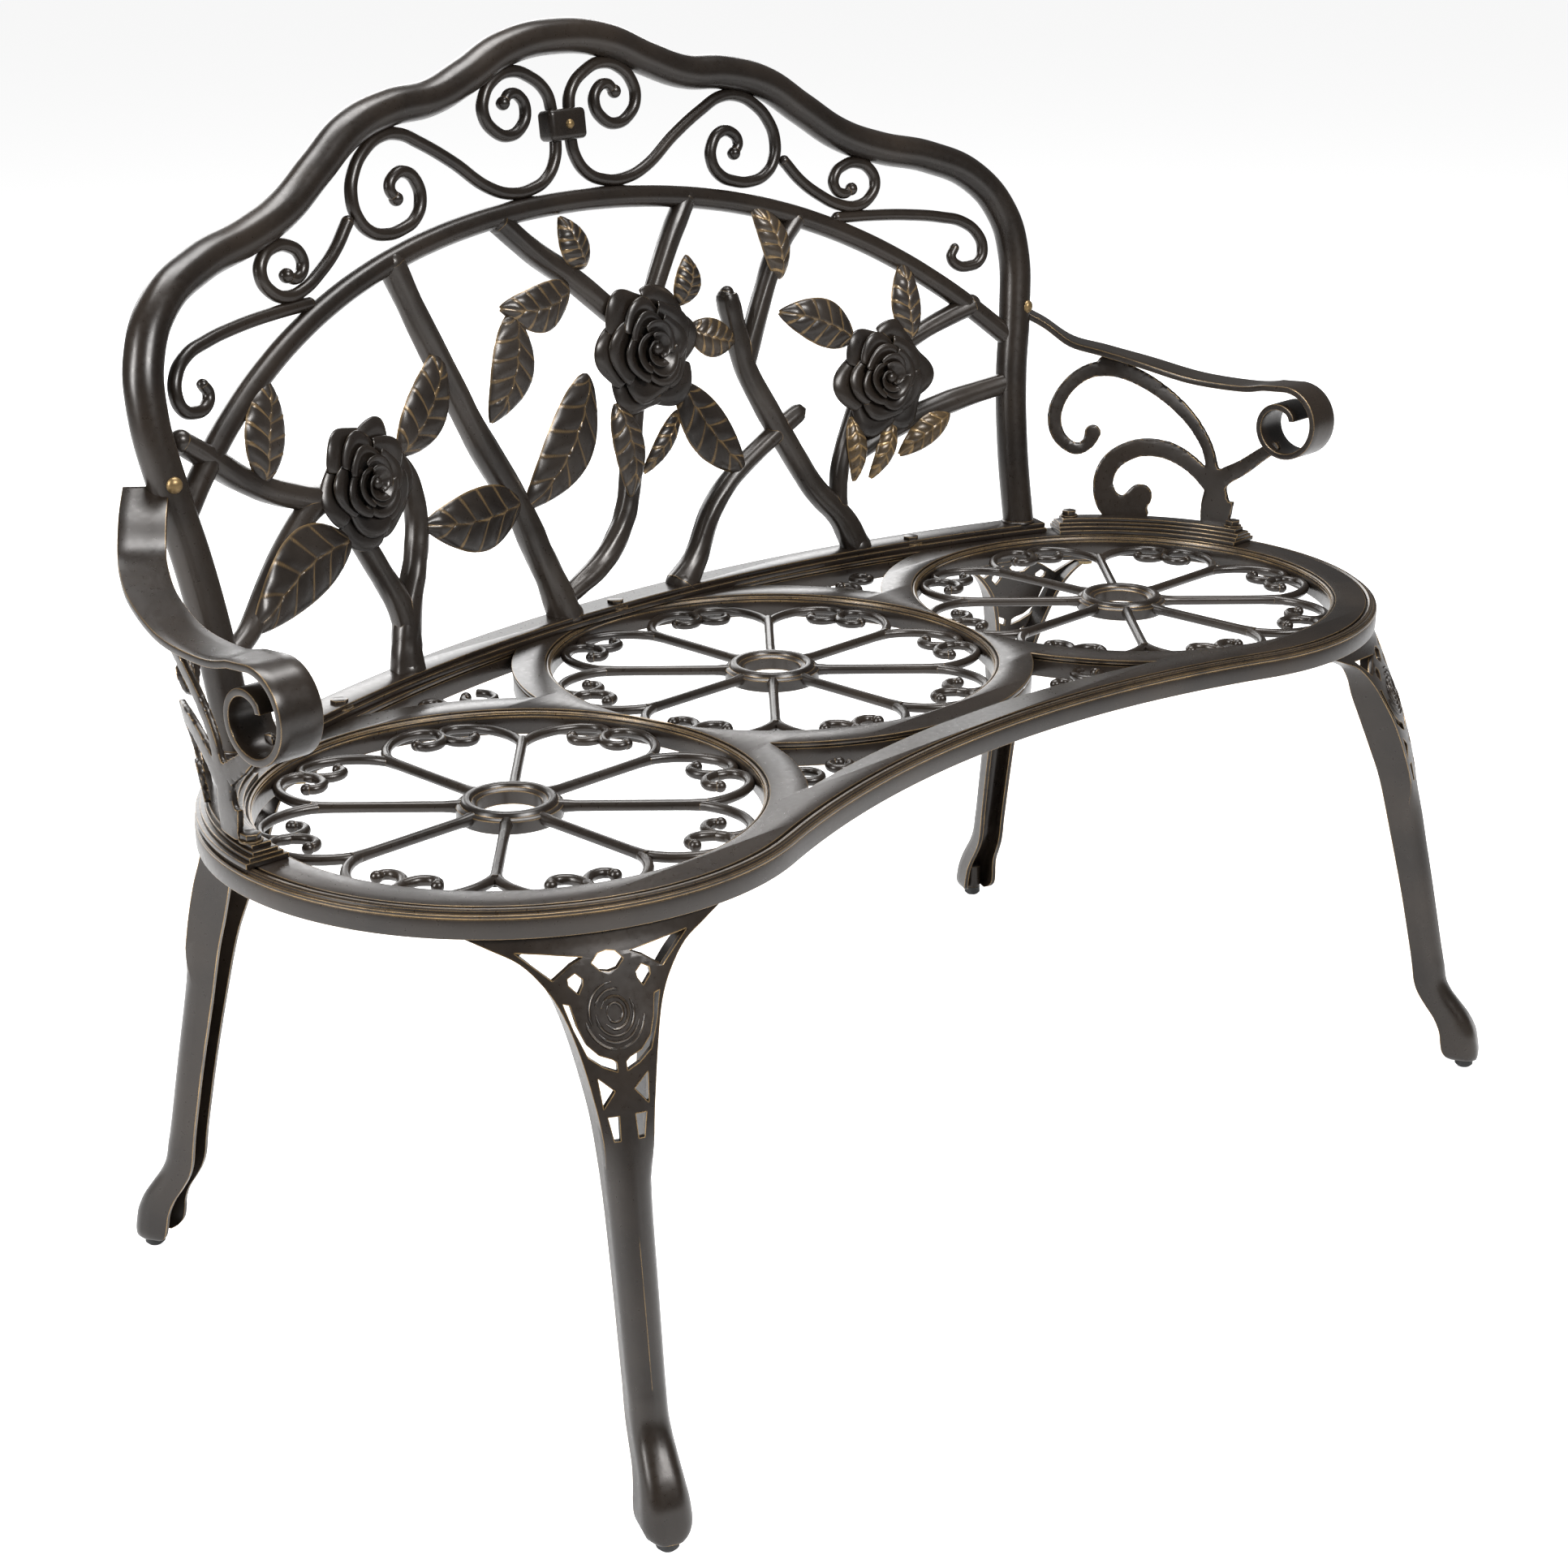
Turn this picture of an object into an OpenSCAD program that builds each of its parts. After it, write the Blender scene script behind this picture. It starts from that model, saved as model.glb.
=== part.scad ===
// Garden bench: three round grilles in a kidney-shaped seat, a curved rose-branch
// back inside a scalloped tube, two rolled arms and four splayed cabriole legs.
// Millimetres, +Z up, +X to the sitter's left as seen from the front, -Y is the front.
// Origin: middle of the footprint of the whole bench, on the floor.

/* [Seat] */
// Height of the flat seat rim above the floor
seat_height = 370; // [300:1:480]
// Depth of the seat casting, rim to lower edge of the skirt
seat_depth = 17.5; // [14:0.5:30]
// Distance from the middle of the bench to a side grille
lobe_spacing = 320; // [280:1:400]
// Radius of each round seat opening
opening_radius = 163; // [120:1:190]
// Width of the rim around the side openings
rim_width = 34; // [28:1:50]
// How far the middle grille sits behind the side grilles
middle_setback = 76; // [60:1:110]
// Distance from a side grille centre to the rear edge of the seat at the middle
rear_reach = 264; // [250:1:300]
// Distance from a side grille centre to the front edge of the seat at the middle
front_reach = 140; // [120:1:160]
// Thickness of the seat plate and its walls
plate_wall = 5; // [3:0.5:8]
// Width of the webs around the triangular openings
web_width = 27; // [20:1:35]

/* [Grilles] */
// Outer radius of the hub rings
hub_radius = 34.5; // [25:0.5:45]
// Radius of the hole in a hub ring
hub_bore = 21; // [12:0.5:30]
// Height of a hub ring
hub_height = 13; // [8:0.5:16]
// How far the grilles sit below the rim
grille_drop = 3.5; // [1:0.5:8]
// Spokes in each grille
spoke_count = 8; // [6:1:10]
// Diameter of a spoke and of the curled ends
spoke_diameter = 7; // [5:0.5:9]
// Radius at which a spoke forks
fork_radius = 122; // [90:1:140]

/* [Back] */
// Height of the top of the back, tube centre
crest_height = 797; // [700:1:950]
// Diameter of the frame tube
tube_diameter = 26; // [20:1:32]
// Diameter of the inner arch rail
arch_diameter = 17; // [12:1:22]
// Height of the inner arch rail at the middle
arch_top = 679; // [600:1:800]
// Rise of the inner arch from its ends to its middle
arch_rise = 149; // [80:1:180]
// how square the arch's shoulders are, 0 for an even curve
arch_shoulder = 0.32; // [0:0.01:0.6]
// Diameter of the scroll rods
rod_diameter = 9; // [6:0.5:12]
// How far the ends of the back come forward of its middle
back_sweep = 85; // [50:1:110]
// Lean of the back from upright, degrees
back_lean = 6.7; // [0:0.1:15]
// how much more the two ends of the back lean, in degrees
end_lean = 4.9; // [0:0.1:8]
// Thickness of the rail the back stands on
rail_thick = 8; // [5:0.5:12]
// Width of that rail
rail_width = 24; // [18:1:30]

/* [Arms] */
// Width of the arm bar
bar_width = 30; // [25:1:50]
// Thickness of the arm bar
bar_thick = 5; // [3:0.5:8]
// Radius of the rolled end of the arm
roll_radius = 28.5; // [22:0.5:40]
// Height of the roll centre above the seat rim
roll_height = 106; // [80:1:130]
// Thickness of the arm bracket
bracket_thick = 4.5; // [3:0.5:8]

/* [Legs] */
// Reach of a front glide from its side grille centre
front_leg_reach = 294; // [240:1:330]
// Reach of a rear glide from its side grille centre
rear_leg_reach = 282; // [240:1:330]
// Splay of a front leg from straight ahead, degrees
front_leg_angle = 25.2; // [10:0.1:45]
// Splay of a rear leg from straight back, degrees
rear_leg_angle = 27.6; // [10:0.1:45]
// Wall thickness of the leg casting
leg_wall = 3.5; // [2.5:0.5:6]
// Thickness of the leg's top flange
flange_thick = 5; // [4:0.5:8]

/* [Fixings] */
// Diameter of the screws through the rails and arm bases
screw_diameter = 6; // [5:0.5:8]
// Diameter of the leg bolts and of the glide studs
bolt_diameter = 8; // [6:0.5:10]
// Radial clearance of a screw in its hole
hole_clearance = 0.25; // [0.1:0.05:0.5]
// Radial clearance of a glide stud in its socket
stud_clearance = 0.05; // [0.02:0.01:0.1]
// Radius of a glide pad
glide_radius = 7; // [6:0.5:12]
// Height of a glide pad
glide_height = 7.5; // [5:0.5:12]

/* [Hidden] */
metal = [0.15, 0.13, 0.12];
zinc = [0.55, 0.45, 0.28];
plastic = [0.05, 0.05, 0.05];
touch = 0.1;
bite = 0.3;
tube_r = tube_diameter / 2;
arch_r = arch_diameter / 2;
rod_r = rod_diameter / 2;
spoke_r = spoke_diameter / 2;
screw_r = screw_diameter / 2;
bolt_r = bolt_diameter / 2;
seat_under = seat_height - seat_depth;
plate_under = seat_height - plate_wall;
lobe_r = opening_radius + rim_width;
lip = 1.5;
// front edge: a circle that hollows the front and meets both lobes smoothly
front_arc = (pow(lobe_spacing, 2) + pow(front_reach, 2) - pow(lobe_r, 2))
    / (2 * (lobe_r - front_reach));
front_centre = -front_reach - front_arc;
// rear edge: a circle around both lobes that meets them smoothly
rear_arc = (pow(lobe_spacing, 2) + pow(rear_reach, 2) - pow(lobe_r, 2))
    / (2 * (rear_reach - lobe_r));
rear_centre = rear_reach - rear_arc;
// line the back stands on, measured from the side grille centres
back_foot = rear_reach - 4 - rail_width / 2;
rail_top = seat_height + rail_thick;
// the upright sides of the frame tube stand level with this point
back_half = lobe_spacing + 104;
back_radius = (pow(back_half, 2) + pow(back_sweep, 2)) / (2 * back_sweep);
// the arch runs to the inner side of the frame tube
arch_end = back_half - 8;
lean_slope = tan(back_lean);
end_slope = tan(end_lean);
crest_back = back_foot + lean_slope * (crest_height - seat_height) + tube_r;
// foot of a leg
leg_top_r = lobe_r - 3;
foot_out = 10.6;
foot_width = 33;
foot_front = front_leg_reach + foot_out;
foot_corner = sqrt(pow(foot_front, 2) - pow(foot_width / 2, 2));
foot_low = foot_corner * cos(front_leg_angle) + foot_width / 2 * sin(front_leg_angle);
// moves the side grille line so that the origin is the middle of the footprint
shift_y = (foot_low - crest_back) / 2;
foot_z = 8;
flange_r = lobe_r - 17;
flange_ear = 13;
socket_height = 20;
arm_step_low = 5;
arm_base_top = 12;
arm_from = 3;
arm_to = 55;
arm_in = lobe_r - 31;
arm_out = lobe_r - 1;
screw_head_h = 4;
nut_h = 5;

// ---------- curves ----------
function lerp3(a, b, t) = a + (b - a) * t;
function spline_point(a, b, c, d, t) =
    0.5 * (2 * b + (c - a) * t + (2 * a - 5 * b + 4 * c - d) * t * t
    + (3 * b - a - 3 * c + d) * t * t * t);
// a smooth curve through the points, with n steps between each two
function smooth(p, n) = [
    for (i = [0 : len(p) - 2])
        for (k = [0 : n - 1])
            spline_point(p[max(i - 1, 0)], p[i], p[i + 1], p[min(i + 2, len(p) - 1)], k / n),
    p[len(p) - 1]
];
function unit(v) = v / norm(v);
function tangent(p, i) = unit(p[min(i + 1, len(p) - 1)] - p[max(i - 1, 0)]);
// surface of the back: curved in plan, leaning back, measured from the grille line
function back_y(x, z) = back_foot - back_radius + sqrt(pow(back_radius, 2) - x * x)
    + (lean_slope + end_slope * pow(x / back_half, 2)) * (z - seat_height);
function on_back(p, ahead = 0) = [p[0], back_y(p[0], p[1]) - ahead, p[1]];
function back_path(p, n, ahead = 0) = [for (q = smooth(p, n)) on_back(q, ahead)];
function mirrored(p) = [for (q = p) [-q[0], q[1]]];
// heights given for the standard crest move with the crest
// the back is drawn for a side at x = 424, a rail top at 378 and a crest at 797
drawn_half = 424;
drawn_rail = 378;
drawn_crest = 797;
function widen(x) = x * back_half / drawn_half;
function raise(z) = rail_top + (z - drawn_rail) * (crest_height - rail_top) / (drawn_crest - drawn_rail);
function scaled(p) = [for (q = p) [widen(q[0]), raise(q[1])]];
function strip_faces(rows, n) = [
    [for (k = [n - 1 : -1 : 0]) k],
    [for (k = [0 : n - 1]) (rows - 1) * n + k],
    for (i = [0 : rows - 2])
        for (k = [0 : n - 1])
            [i * n + k, i * n + (k + 1) % n, (i + 1) * n + (k + 1) % n],
    for (i = [0 : rows - 2])
        for (k = [0 : n - 1])
            [i * n + k, (i + 1) * n + (k + 1) % n, (i + 1) * n + k]
];
// a round bar along a path that stays near the upright plane of the back
module bar_along(path, r, sides = 8) {
    rings = [
        for (i = [0 : len(path) - 1])
            let (t = tangent(path, i), u = unit(cross([0, 1, 0], t)), v = cross(t, u))
                for (k = [0 : sides - 1])
                    path[i] + r * (cos(360 * k / sides) * v + sin(360 * k / sides) * u)
    ];
    polyhedron(rings, strip_faces(len(path), sides), convexity = 10);
}
// the standard place of every piece: the grille line moved to the footprint middle
module placed() {
    translate([0, shift_y, 0])
        children();
}
module on_surface(x, z, ahead) {
    translate([x, back_y(x, z) - ahead, z])
        rotate([
            -atan(lean_slope + end_slope * pow(x / back_half, 2)),
            0,
            atan(2 * end_slope * x * (z - seat_height) / pow(back_half, 2)) - asin(x / back_radius)
        ])
            rotate([90, 0, 0])
                children();
}
module at_lobe(side) {
    translate([side * lobe_spacing, 0, 0])
        children();
}
module sector(r_in, r_out, from, to) {
    // part of a ring between two angles less than 180 apart
    far = r_out * 1.5 / cos((to - from) / 2);
    mid = (from + to) / 2;
    intersection() {
        difference() {
            circle(r = r_out, $fn = 180);
            circle(r = r_in, $fn = 180);
        }
        polygon([
            [0, 0],
            far * [cos(from), sin(from)],
            far * [cos(mid), sin(mid)],
            far * [cos(to), sin(to)]
        ]);
    }
}

// ---------- seat ----------
module wedge_between_lobes() {
    reach = 2 * lobe_r;
    front_dir = unit([-lobe_spacing, front_centre]);
    rear_dir = unit([lobe_spacing, -rear_centre]);
    polygon([
        [-lobe_spacing, 0],
        [-lobe_spacing, 0] + lobe_r * [-front_dir[0], front_dir[1]],
        [lobe_spacing, 0] + lobe_r * front_dir,
        [lobe_spacing, 0],
        [lobe_spacing, 0] + reach * rear_dir,
        [-lobe_spacing, 0] + reach * [-rear_dir[0], rear_dir[1]]
    ]);
}
module seat_outline(grow) {
    for (side = [-1, 1])
        translate([side * lobe_spacing, 0])
            circle(r = lobe_r + grow, $fn = 180);
    intersection() {
        difference() {
            wedge_between_lobes();
            translate([0, front_centre])
                circle(r = front_arc - grow, $fn = 360);
        }
        translate([0, rear_centre])
            circle(r = rear_arc + grow, $fn = 360);
    }
}
module openings(r) {
    for (side = [-1, 1])
        translate([side * lobe_spacing, 0])
            circle(r = r, $fn = 180);
    translate([0, middle_setback])
        circle(r = r, $fn = 180);
}
// the three-cornered openings between the grilles; grow widens the metal around them
module spandrels(grow) {
    difference() {
        intersection() {
            seat_outline(-web_width - 3 - grow);
            square([1.7 * lobe_spacing, 6 * lobe_r], center = true);
        }
        openings(opening_radius + web_width + grow);
    }
}
module boss_spots() {
    for (side = [-1, 1])
        for (end = [0, 1])
            for (s = [-1, 1])
                leg_place(side, end)
                    translate(bolt_spot(s))
                        children();
}
function bolt_spot(s) = (lobe_r - 19) * [sin(16 * s), -cos(16 * s), 0];
module rail_spots() {
    for (x = [-rail_screw_x, 0, rail_screw_x])
        translate([x, back_y(x, seat_height), 0])
            children();
}
rail_screw_x = 0.933 * lobe_spacing;
module arm_spots() {
    for (side = [-1, 1])
        for (a = [arm_from + 4, arm_to - 4])
            mirror([side < 0 ? 1 : 0, 0, 0])
                at_lobe(1)
                    rotate([0, 0, a])
                        translate([lobe_r - 13, 0, 0])
                            children();
}
module seat_frame() {
    boss_r = bolt_r + 4.5;
    color(metal)
        placed()
            difference() {
                union() {
                    // rim: flat top set in from a stepped edge
                    translate([0, 0, seat_height - 2.5])
                        linear_extrude(2.5)
                            difference() {
                                seat_outline(-5);
                                openings(opening_radius);
                                spandrels(0);
                            }
                    translate([0, 0, plate_under])
                        linear_extrude(plate_wall - 2.5)
                            difference() {
                                seat_outline(0);
                                openings(opening_radius - lip);
                                spandrels(0);
                            }
                    // skirt, opening walls and webs below the plate
                    translate([0, 0, seat_under])
                        linear_extrude(seat_depth - plate_wall)
                            difference() {
                                seat_outline(0);
                                openings(opening_radius - lip);
                                spandrels(0);
                                difference() {
                                    seat_outline(-plate_wall);
                                    openings(opening_radius + 3);
                                    spandrels(-3);
                                }
                            }
                    boss_spots()
                        translate([0, 0, seat_under])
                            cylinder(r = boss_r, h = seat_depth - plate_wall + 1, $fn = 48);
                }
                boss_spots()
                    translate([0, 0, seat_under - 1])
                        cylinder(r = bolt_r + stud_clearance, h = seat_depth - 2, $fn = 48);
                rail_spots()
                    translate([0, 0, seat_under - 1])
                        cylinder(r = screw_r + hole_clearance, h = seat_depth + 2, $fn = 48);
                arm_spots()
                    translate([0, 0, seat_under - 1])
                        cylinder(r = screw_r + hole_clearance, h = seat_depth + 2, $fn = 48);
            }
}

// ---------- grilles ----------
grille_top = seat_height - grille_drop;
spoke_z = grille_top - hub_height / 2;
function grille_centre(which) = [which * lobe_spacing, which == 0 ? middle_setback : 0, 0];
module hub(which) {
    color(metal)
        placed()
            translate(grille_centre(which))
                translate([0, 0, grille_top - hub_height])
                    rotate_extrude($fn = 96)
                        polygon([
                            [hub_bore, 0],
                            [hub_radius, 0],
                            [hub_radius, hub_height - 2],
                            [hub_radius - 2, hub_height],
                            [hub_bore + 3, hub_height],
                            [hub_bore, hub_height - 3]
                        ]);
}
module spokes(which) {
    color(metal)
        placed()
            translate(grille_centre(which))
                for (k = [0 : spoke_count - 1])
                    rotate([0, 0, 360 * k / spoke_count])
                        translate([hub_radius, 0, spoke_z])
                            rotate([0, 90, 0])
                                cylinder(r = spoke_r, h = fork_radius - hub_radius, $fn = 32);
}
// one fork arm in polar steps: share of the gap to the wall, share of half a sector
fork_steps = [
    [0, 0], [0.25, 0.045], [0.58, 0.2], [0.86, 0.42], [1, 0.64], [0.945, 0.84],
    [0.72, 0.935], [0.46, 0.9], [0.335, 0.74], [0.41, 0.585]
];
fork_wall = opening_radius - lip - spoke_r - touch;
function fork_point(q) =
    let (r = fork_radius + touch + q[0] * (fork_wall - fork_radius - touch),
        a = q[1] * (180 / spoke_count) * 163 / opening_radius)
        [r * cos(a), r * sin(a) + spoke_r + touch / 2];
function across(p, i) =
    let (t = tangent(p, i))
        [-t[1], t[0]];
module ribbon(p, w) {
    polygon([
        for (i = [0 : len(p) - 1]) p[i] + w / 2 * across(p, i),
        for (i = [len(p) - 1 : -1 : 0]) p[i] - w / 2 * across(p, i)
    ]);
}
module curls(which) {
    arm = smooth([for (q = fork_steps) fork_point(q)], 2);
    color(metal)
        placed()
            translate(grille_centre(which))
                for (k = [0 : spoke_count - 1])
                    rotate([0, 0, 360 * k / spoke_count])
                        for (m = [0, 1])
                            mirror([0, m, 0])
                                translate([0, 0, spoke_z - spoke_r])
                                    linear_extrude(spoke_diameter)
                                        ribbon(arm, spoke_diameter);
}
// C scrolls filling a three-cornered opening: [x, y, radius, first angle]
module spandrel_scroll(x, y, r, from) {
    translate([x, y, spoke_z])
        rotate([0, 0, from])
            rotate_extrude(angle = 300, $fn = 64)
                translate([r, 0])
                    circle(r = spoke_r - 0.5, $fn = 24);
}
spandrel_x = lobe_spacing / 2;
front_web = -front_reach + web_width + 3;
module front_spandrel_scrolls() {
    color(metal)
        placed()
            for (m = [0, 1])
                mirror([m, 0, 0]) {
                    spandrel_scroll(spandrel_x - 10, front_web + 11, 12, 60);
                    spandrel_scroll(spandrel_x - 41, front_web + 11, 8, 200);
                }
}
module rear_spandrel_scrolls() {
    color(metal)
        placed()
            for (m = [0, 1])
                mirror([m, 0, 0]) {
                    spandrel_scroll(spandrel_x + 34, rear_reach - 84, 14, 130);
                    spandrel_scroll(spandrel_x + 65, rear_reach - 74, 9, 20);
                }
}

// ---------- back ----------
module rail_band(front, rear) {
    // a strip between two circles that follow the back
    half = back_half - 16 + tube_r;
    intersection() {
        difference() {
            translate([0, back_foot - back_radius])
                circle(r = back_radius + rear, $fn = 360);
            translate([0, back_foot - back_radius])
                circle(r = back_radius - front, $fn = 360);
        }
        translate([-half, 0])
            square([2 * half, 2 * back_foot]);
    }
}
module back_rail() {
    color(metal)
        placed()
            difference() {
                union() {
                    translate([0, 0, seat_height])
                        linear_extrude(rail_thick / 2)
                            rail_band(rail_width / 2 + 3, rail_width / 2);
                    translate([0, 0, seat_height + rail_thick / 2])
                        linear_extrude(rail_thick / 2)
                            rail_band(rail_width / 2, rail_width / 2);
                }
                rail_spots()
                    translate([0, 0, seat_height - 1])
                        cylinder(r = screw_r + hole_clearance, h = rail_thick + 2, $fn = 48);
            }
}
// right half of the frame tube, foot to crest, seen from the front
tube_half = [
    [404, 378], [407, 440], [414, 500], [424, 550], [430, 600], [424, 632], [401, 662],
    [360, 681], [312, 692], [275, 705], [240, 727], [205, 749], [165, 760], [125, 763.5],
    [90, 775], [50, 791], [0, 797]
];
tube_right = scaled(tube_half);
tube_line = concat(
    tube_right,
    [for (i = [len(tube_right) - 2 : -1 : 0]) [-tube_right[i][0], tube_right[i][1]]]
);
module back_tube() {
    color(metal)
        placed()
            back_tube_solid();
}
function arch_drop(s) = arch_rise * ((1 - arch_shoulder) * pow(s, 2) + arch_shoulder * pow(s, 4));
function arch_z(x) = raise(arch_top - arch_drop(x / arch_end));
arch_line = [for (k = [-16 : 16]) let (x = arch_end * k / 16) on_back([x, arch_z(x)])];
module back_arch() {
    color(metal)
        placed()
            back_arch_solid();
}
crest_curl = [
    [8, 744.7], [12, 758], [28, 771], [45, 775.5], [62, 771], [73, 760], [75, 747], [67, 736],
    [53, 731], [40, 736], [34, 747], [38, 757], [48, 760], [55, 754]
];
scroll_rod = [
    [7, 724.3], [10, 711], [20, 698], [36, 691.5], [56, 690.5], [78, 697], [110, 718], [140, 734.5],
    [158, 742], [176, 742], [193, 734], [205, 721], [210, 706], [207, 691], [197, 680.5],
    [182, 676.5], [166, 678], [152, 684], [145, 695], [147, 708], [156, 716], [167, 715],
    [173, 707], [168, 699]
];
small_scroll = [
    [217, 689], [232, 672.5], [250, 659.5], [267, 651], [284, 648.5], [298, 654], [305, 665],
    [301, 676], [289, 682], [276, 681], [266, 674], [265, 664.5], [273, 659], [281, 662]
];
hook_rod = [
    [266, 641], [300, 639.7], [335, 637], [366, 632.5], [386, 627], [398, 617], [401.5, 605],
    [397, 595], [387, 591.5], [376, 593], [371, 600], [375, 607]
];
module back_rod(line, side) {
    path = scaled(line);
    color(metal)
        placed()
            bar_along(back_path(side > 0 ? path : mirrored(path), 2), rod_r, 8);
}
module collar() {
    color(metal)
        placed()
            on_surface(0, raise(734.5), 0)
                difference() {
                    translate([-20, -10, -7.5])
                        cube([40, 20, 17]);
                    cylinder(r = 2 + stud_clearance, h = 20, $fn = 32);
                }
}
module collar_rivet() {
    color(zinc)
        placed()
            on_surface(0, raise(734.5), 0)
                translate([0, 0, 9.5])
                    screw(4.5, 3.5, 2, 8);
}
// a branch: a chain of tapering rounded lengths through [x, z, radius]
module branch(line) {
    path = smooth(line, 2);
    for (i = [0 : len(path) - 2])
        hull() {
            translate(on_back([widen(path[i][0]), raise(path[i][1])]))
                sphere(r = path[i][2], $fn = 8);
            translate(on_back([widen(path[i + 1][0]), raise(path[i + 1][1])]))
                sphere(r = path[i + 1][2], $fn = 8);
        }
}
module branch_stops() {
    // the branches end on the rail, the arch and the tube
    translate([-2 * lobe_spacing, 0, rail_top - 60])
        cube([4 * lobe_spacing, 2 * rear_reach, 60]);
    back_tube_solid();
    back_arch_solid();
}
module back_tube_solid() {
    bar_along(back_path(tube_line, 3), tube_r, 12);
}
module back_arch_solid() {
    bar_along(arch_line, arch_r, 10);
}
module branches_left() {
    color(metal)
        placed()
            difference() {
                union() {
                    branch([[-218, 376, 13], [-216, 396, 11], [-208, 420, 10], [-195, 450, 9],
                        [-188, 480, 9], [-192, 510, 8], [-206, 528, 7]]);
                    branch([[-210, 418, 9], [-228, 445, 9], [-248, 480, 9]]);
                    branch([[-405, 577, 8], [-380, 560, 9], [-355, 542, 9], [-325, 527, 9],
                        [-285, 512, 9]]);
                    branch([[-396, 436, 7], [-372, 446, 8], [-340, 474, 9], [-300, 505, 9]]);
                    branch([[-180.6, 652, 10], [-160, 610, 10], [-135, 560, 10.5], [-112, 515, 11],
                        [-87, 472, 11], [-70, 432, 11.5], [-56, 400, 12], [-47, 374, 14]]);
                }
                branch_stops();
            }
}
module branches_middle() {
    color(metal)
        placed()
            difference() {
                union() {
                    branch([[-34, 394, 8], [-12, 404, 9], [8, 419, 9], [25, 442, 9], [35, 475, 9],
                        [44, 520, 8], [55, 560, 8]]);
                    branch([[-72, 672, 9], [-40, 646, 9.5], [-8, 624, 9.5], [30, 594, 9]]);
                    branch([[114.4, 666, 9], [96, 642, 8.5], [72, 600, 8]]);
                }
                branch_stops();
                branch([[-87, 472, 11], [-70, 432, 11.5], [-56, 400, 12], [-47, 374, 14]]);
            }
}
module branches_right() {
    color(metal)
        placed()
            difference() {
                union() {
                    branch([[251, 374, 13], [240, 402, 11], [216, 430, 10], [196, 465, 10],
                        [176, 500, 10], [160, 532, 9.5], [153, 562, 9.5], [148, 592, 9]]);
                    branch([[160, 540, 8.5], [180, 582, 8.5], [202, 622, 8.5], [222, 644, 9]]);
                    branch([[74, 372, 13], [92, 396, 10], [110, 426, 9], [134, 450, 8.5],
                        [166, 470, 8.5], [206, 492, 8]]);
                    branch([[238, 414, 8], [242, 440, 8], [252, 465, 8], [270, 500, 8]]);
                    branch([[256, 452, 9], [300, 470, 10], [355, 484, 10], [410, 494, 9]]);
                    branch([[300, 528, 8], [340, 545, 8], [375, 556.5, 9]]);
                }
                branch_stops();
            }
}
module petals(r, n, turn, thick) {
    rotate([0, 0, turn])
        linear_extrude(thick) {
            circle(r = 0.72 * r, $fn = 48);
            for (k = [0 : n - 1])
                rotate([0, 0, 360 * k / n])
                    translate([0.58 * r, 0])
                        circle(r = 0.42 * r, $fn = 36);
        }
}
rose_ahead = 7;
module rose(x, z, r) {
    color(metal)
        placed()
            on_surface(widen(x), raise(z), rose_ahead) {
                petals(r, 6, 0, 12);
                translate([0, 0, 12])
                    petals(0.74 * r, 5, 20, 6);
                translate([0, 0, 18])
                    petals(0.48 * r, 5, 50, 5);
                translate([0, 0, 23])
                    cylinder(r = 0.2 * r, h = 3, $fn = 32);
            }
}
// a leaf from its stalk end to its tip, lying just ahead of the branches
leaf_thick = 3.5;
module leaf(x0, z0, x1, z1, wide, ahead = 7.5) {
    run = widen(x1 - x0);
    climb = raise(z1) - raise(z0);
    long = norm([run, climb]);
    turn = atan2(climb, run);
    r = (long * long + wide * wide) / (4 * wide);
    on_surface(widen((x0 + x1) / 2), raise((z0 + z1) / 2), ahead)
        rotate([0, 0, turn])
            linear_extrude(leaf_thick)
                intersection() {
                    translate([0, r - wide / 2])
                        circle(r = r, $fn = 120);
                    translate([0, wide / 2 - r])
                        circle(r = r, $fn = 120);
                }
}
module leaves_left() {
    color(metal)
        placed() {
            leaf(-340, 537, -317, 600, 40);
            leaf(-262, 482, -372, 446, 50);
            leaf(-200, 528, -148, 592, 42);
            leaf(-88, 472, -185, 474, 48);
        }
}
module leaves_middle() {
    color(metal)
        placed() {
            leaf(-6, 552, -80, 466, 50);
            leaf(-72, 606, -104, 534, 46);
            leaf(-16, 618, -82, 612, 34);
            leaf(3, 632, -14, 668, 26);
            leaf(92, 594, 104, 627, 24, 11.5);
            leaf(102, 572, 145, 558, 28);
            leaf(86, 532, 144, 456, 42);
            leaf(18, 526, 26, 457, 30, 11.5);
            leaf(82, 511, 44, 471, 12);
        }
}
module leaves_right() {
    color(metal)
        placed() {
            leaf(198, 602, 177, 658, 26);
            leaf(262, 546, 194, 574, 38);
            leaf(320, 540, 318, 601, 27);
            leaf(253, 482, 252, 433, 15);
            leaf(292, 478, 268, 433, 14);
            leaf(347, 476, 298, 448, 20);
        }
}

// ---------- arms ----------
roll_x = lobe_spacing + lobe_r - 3;
roll_y = -22;
roll_z = seat_height + roll_height;
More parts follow.
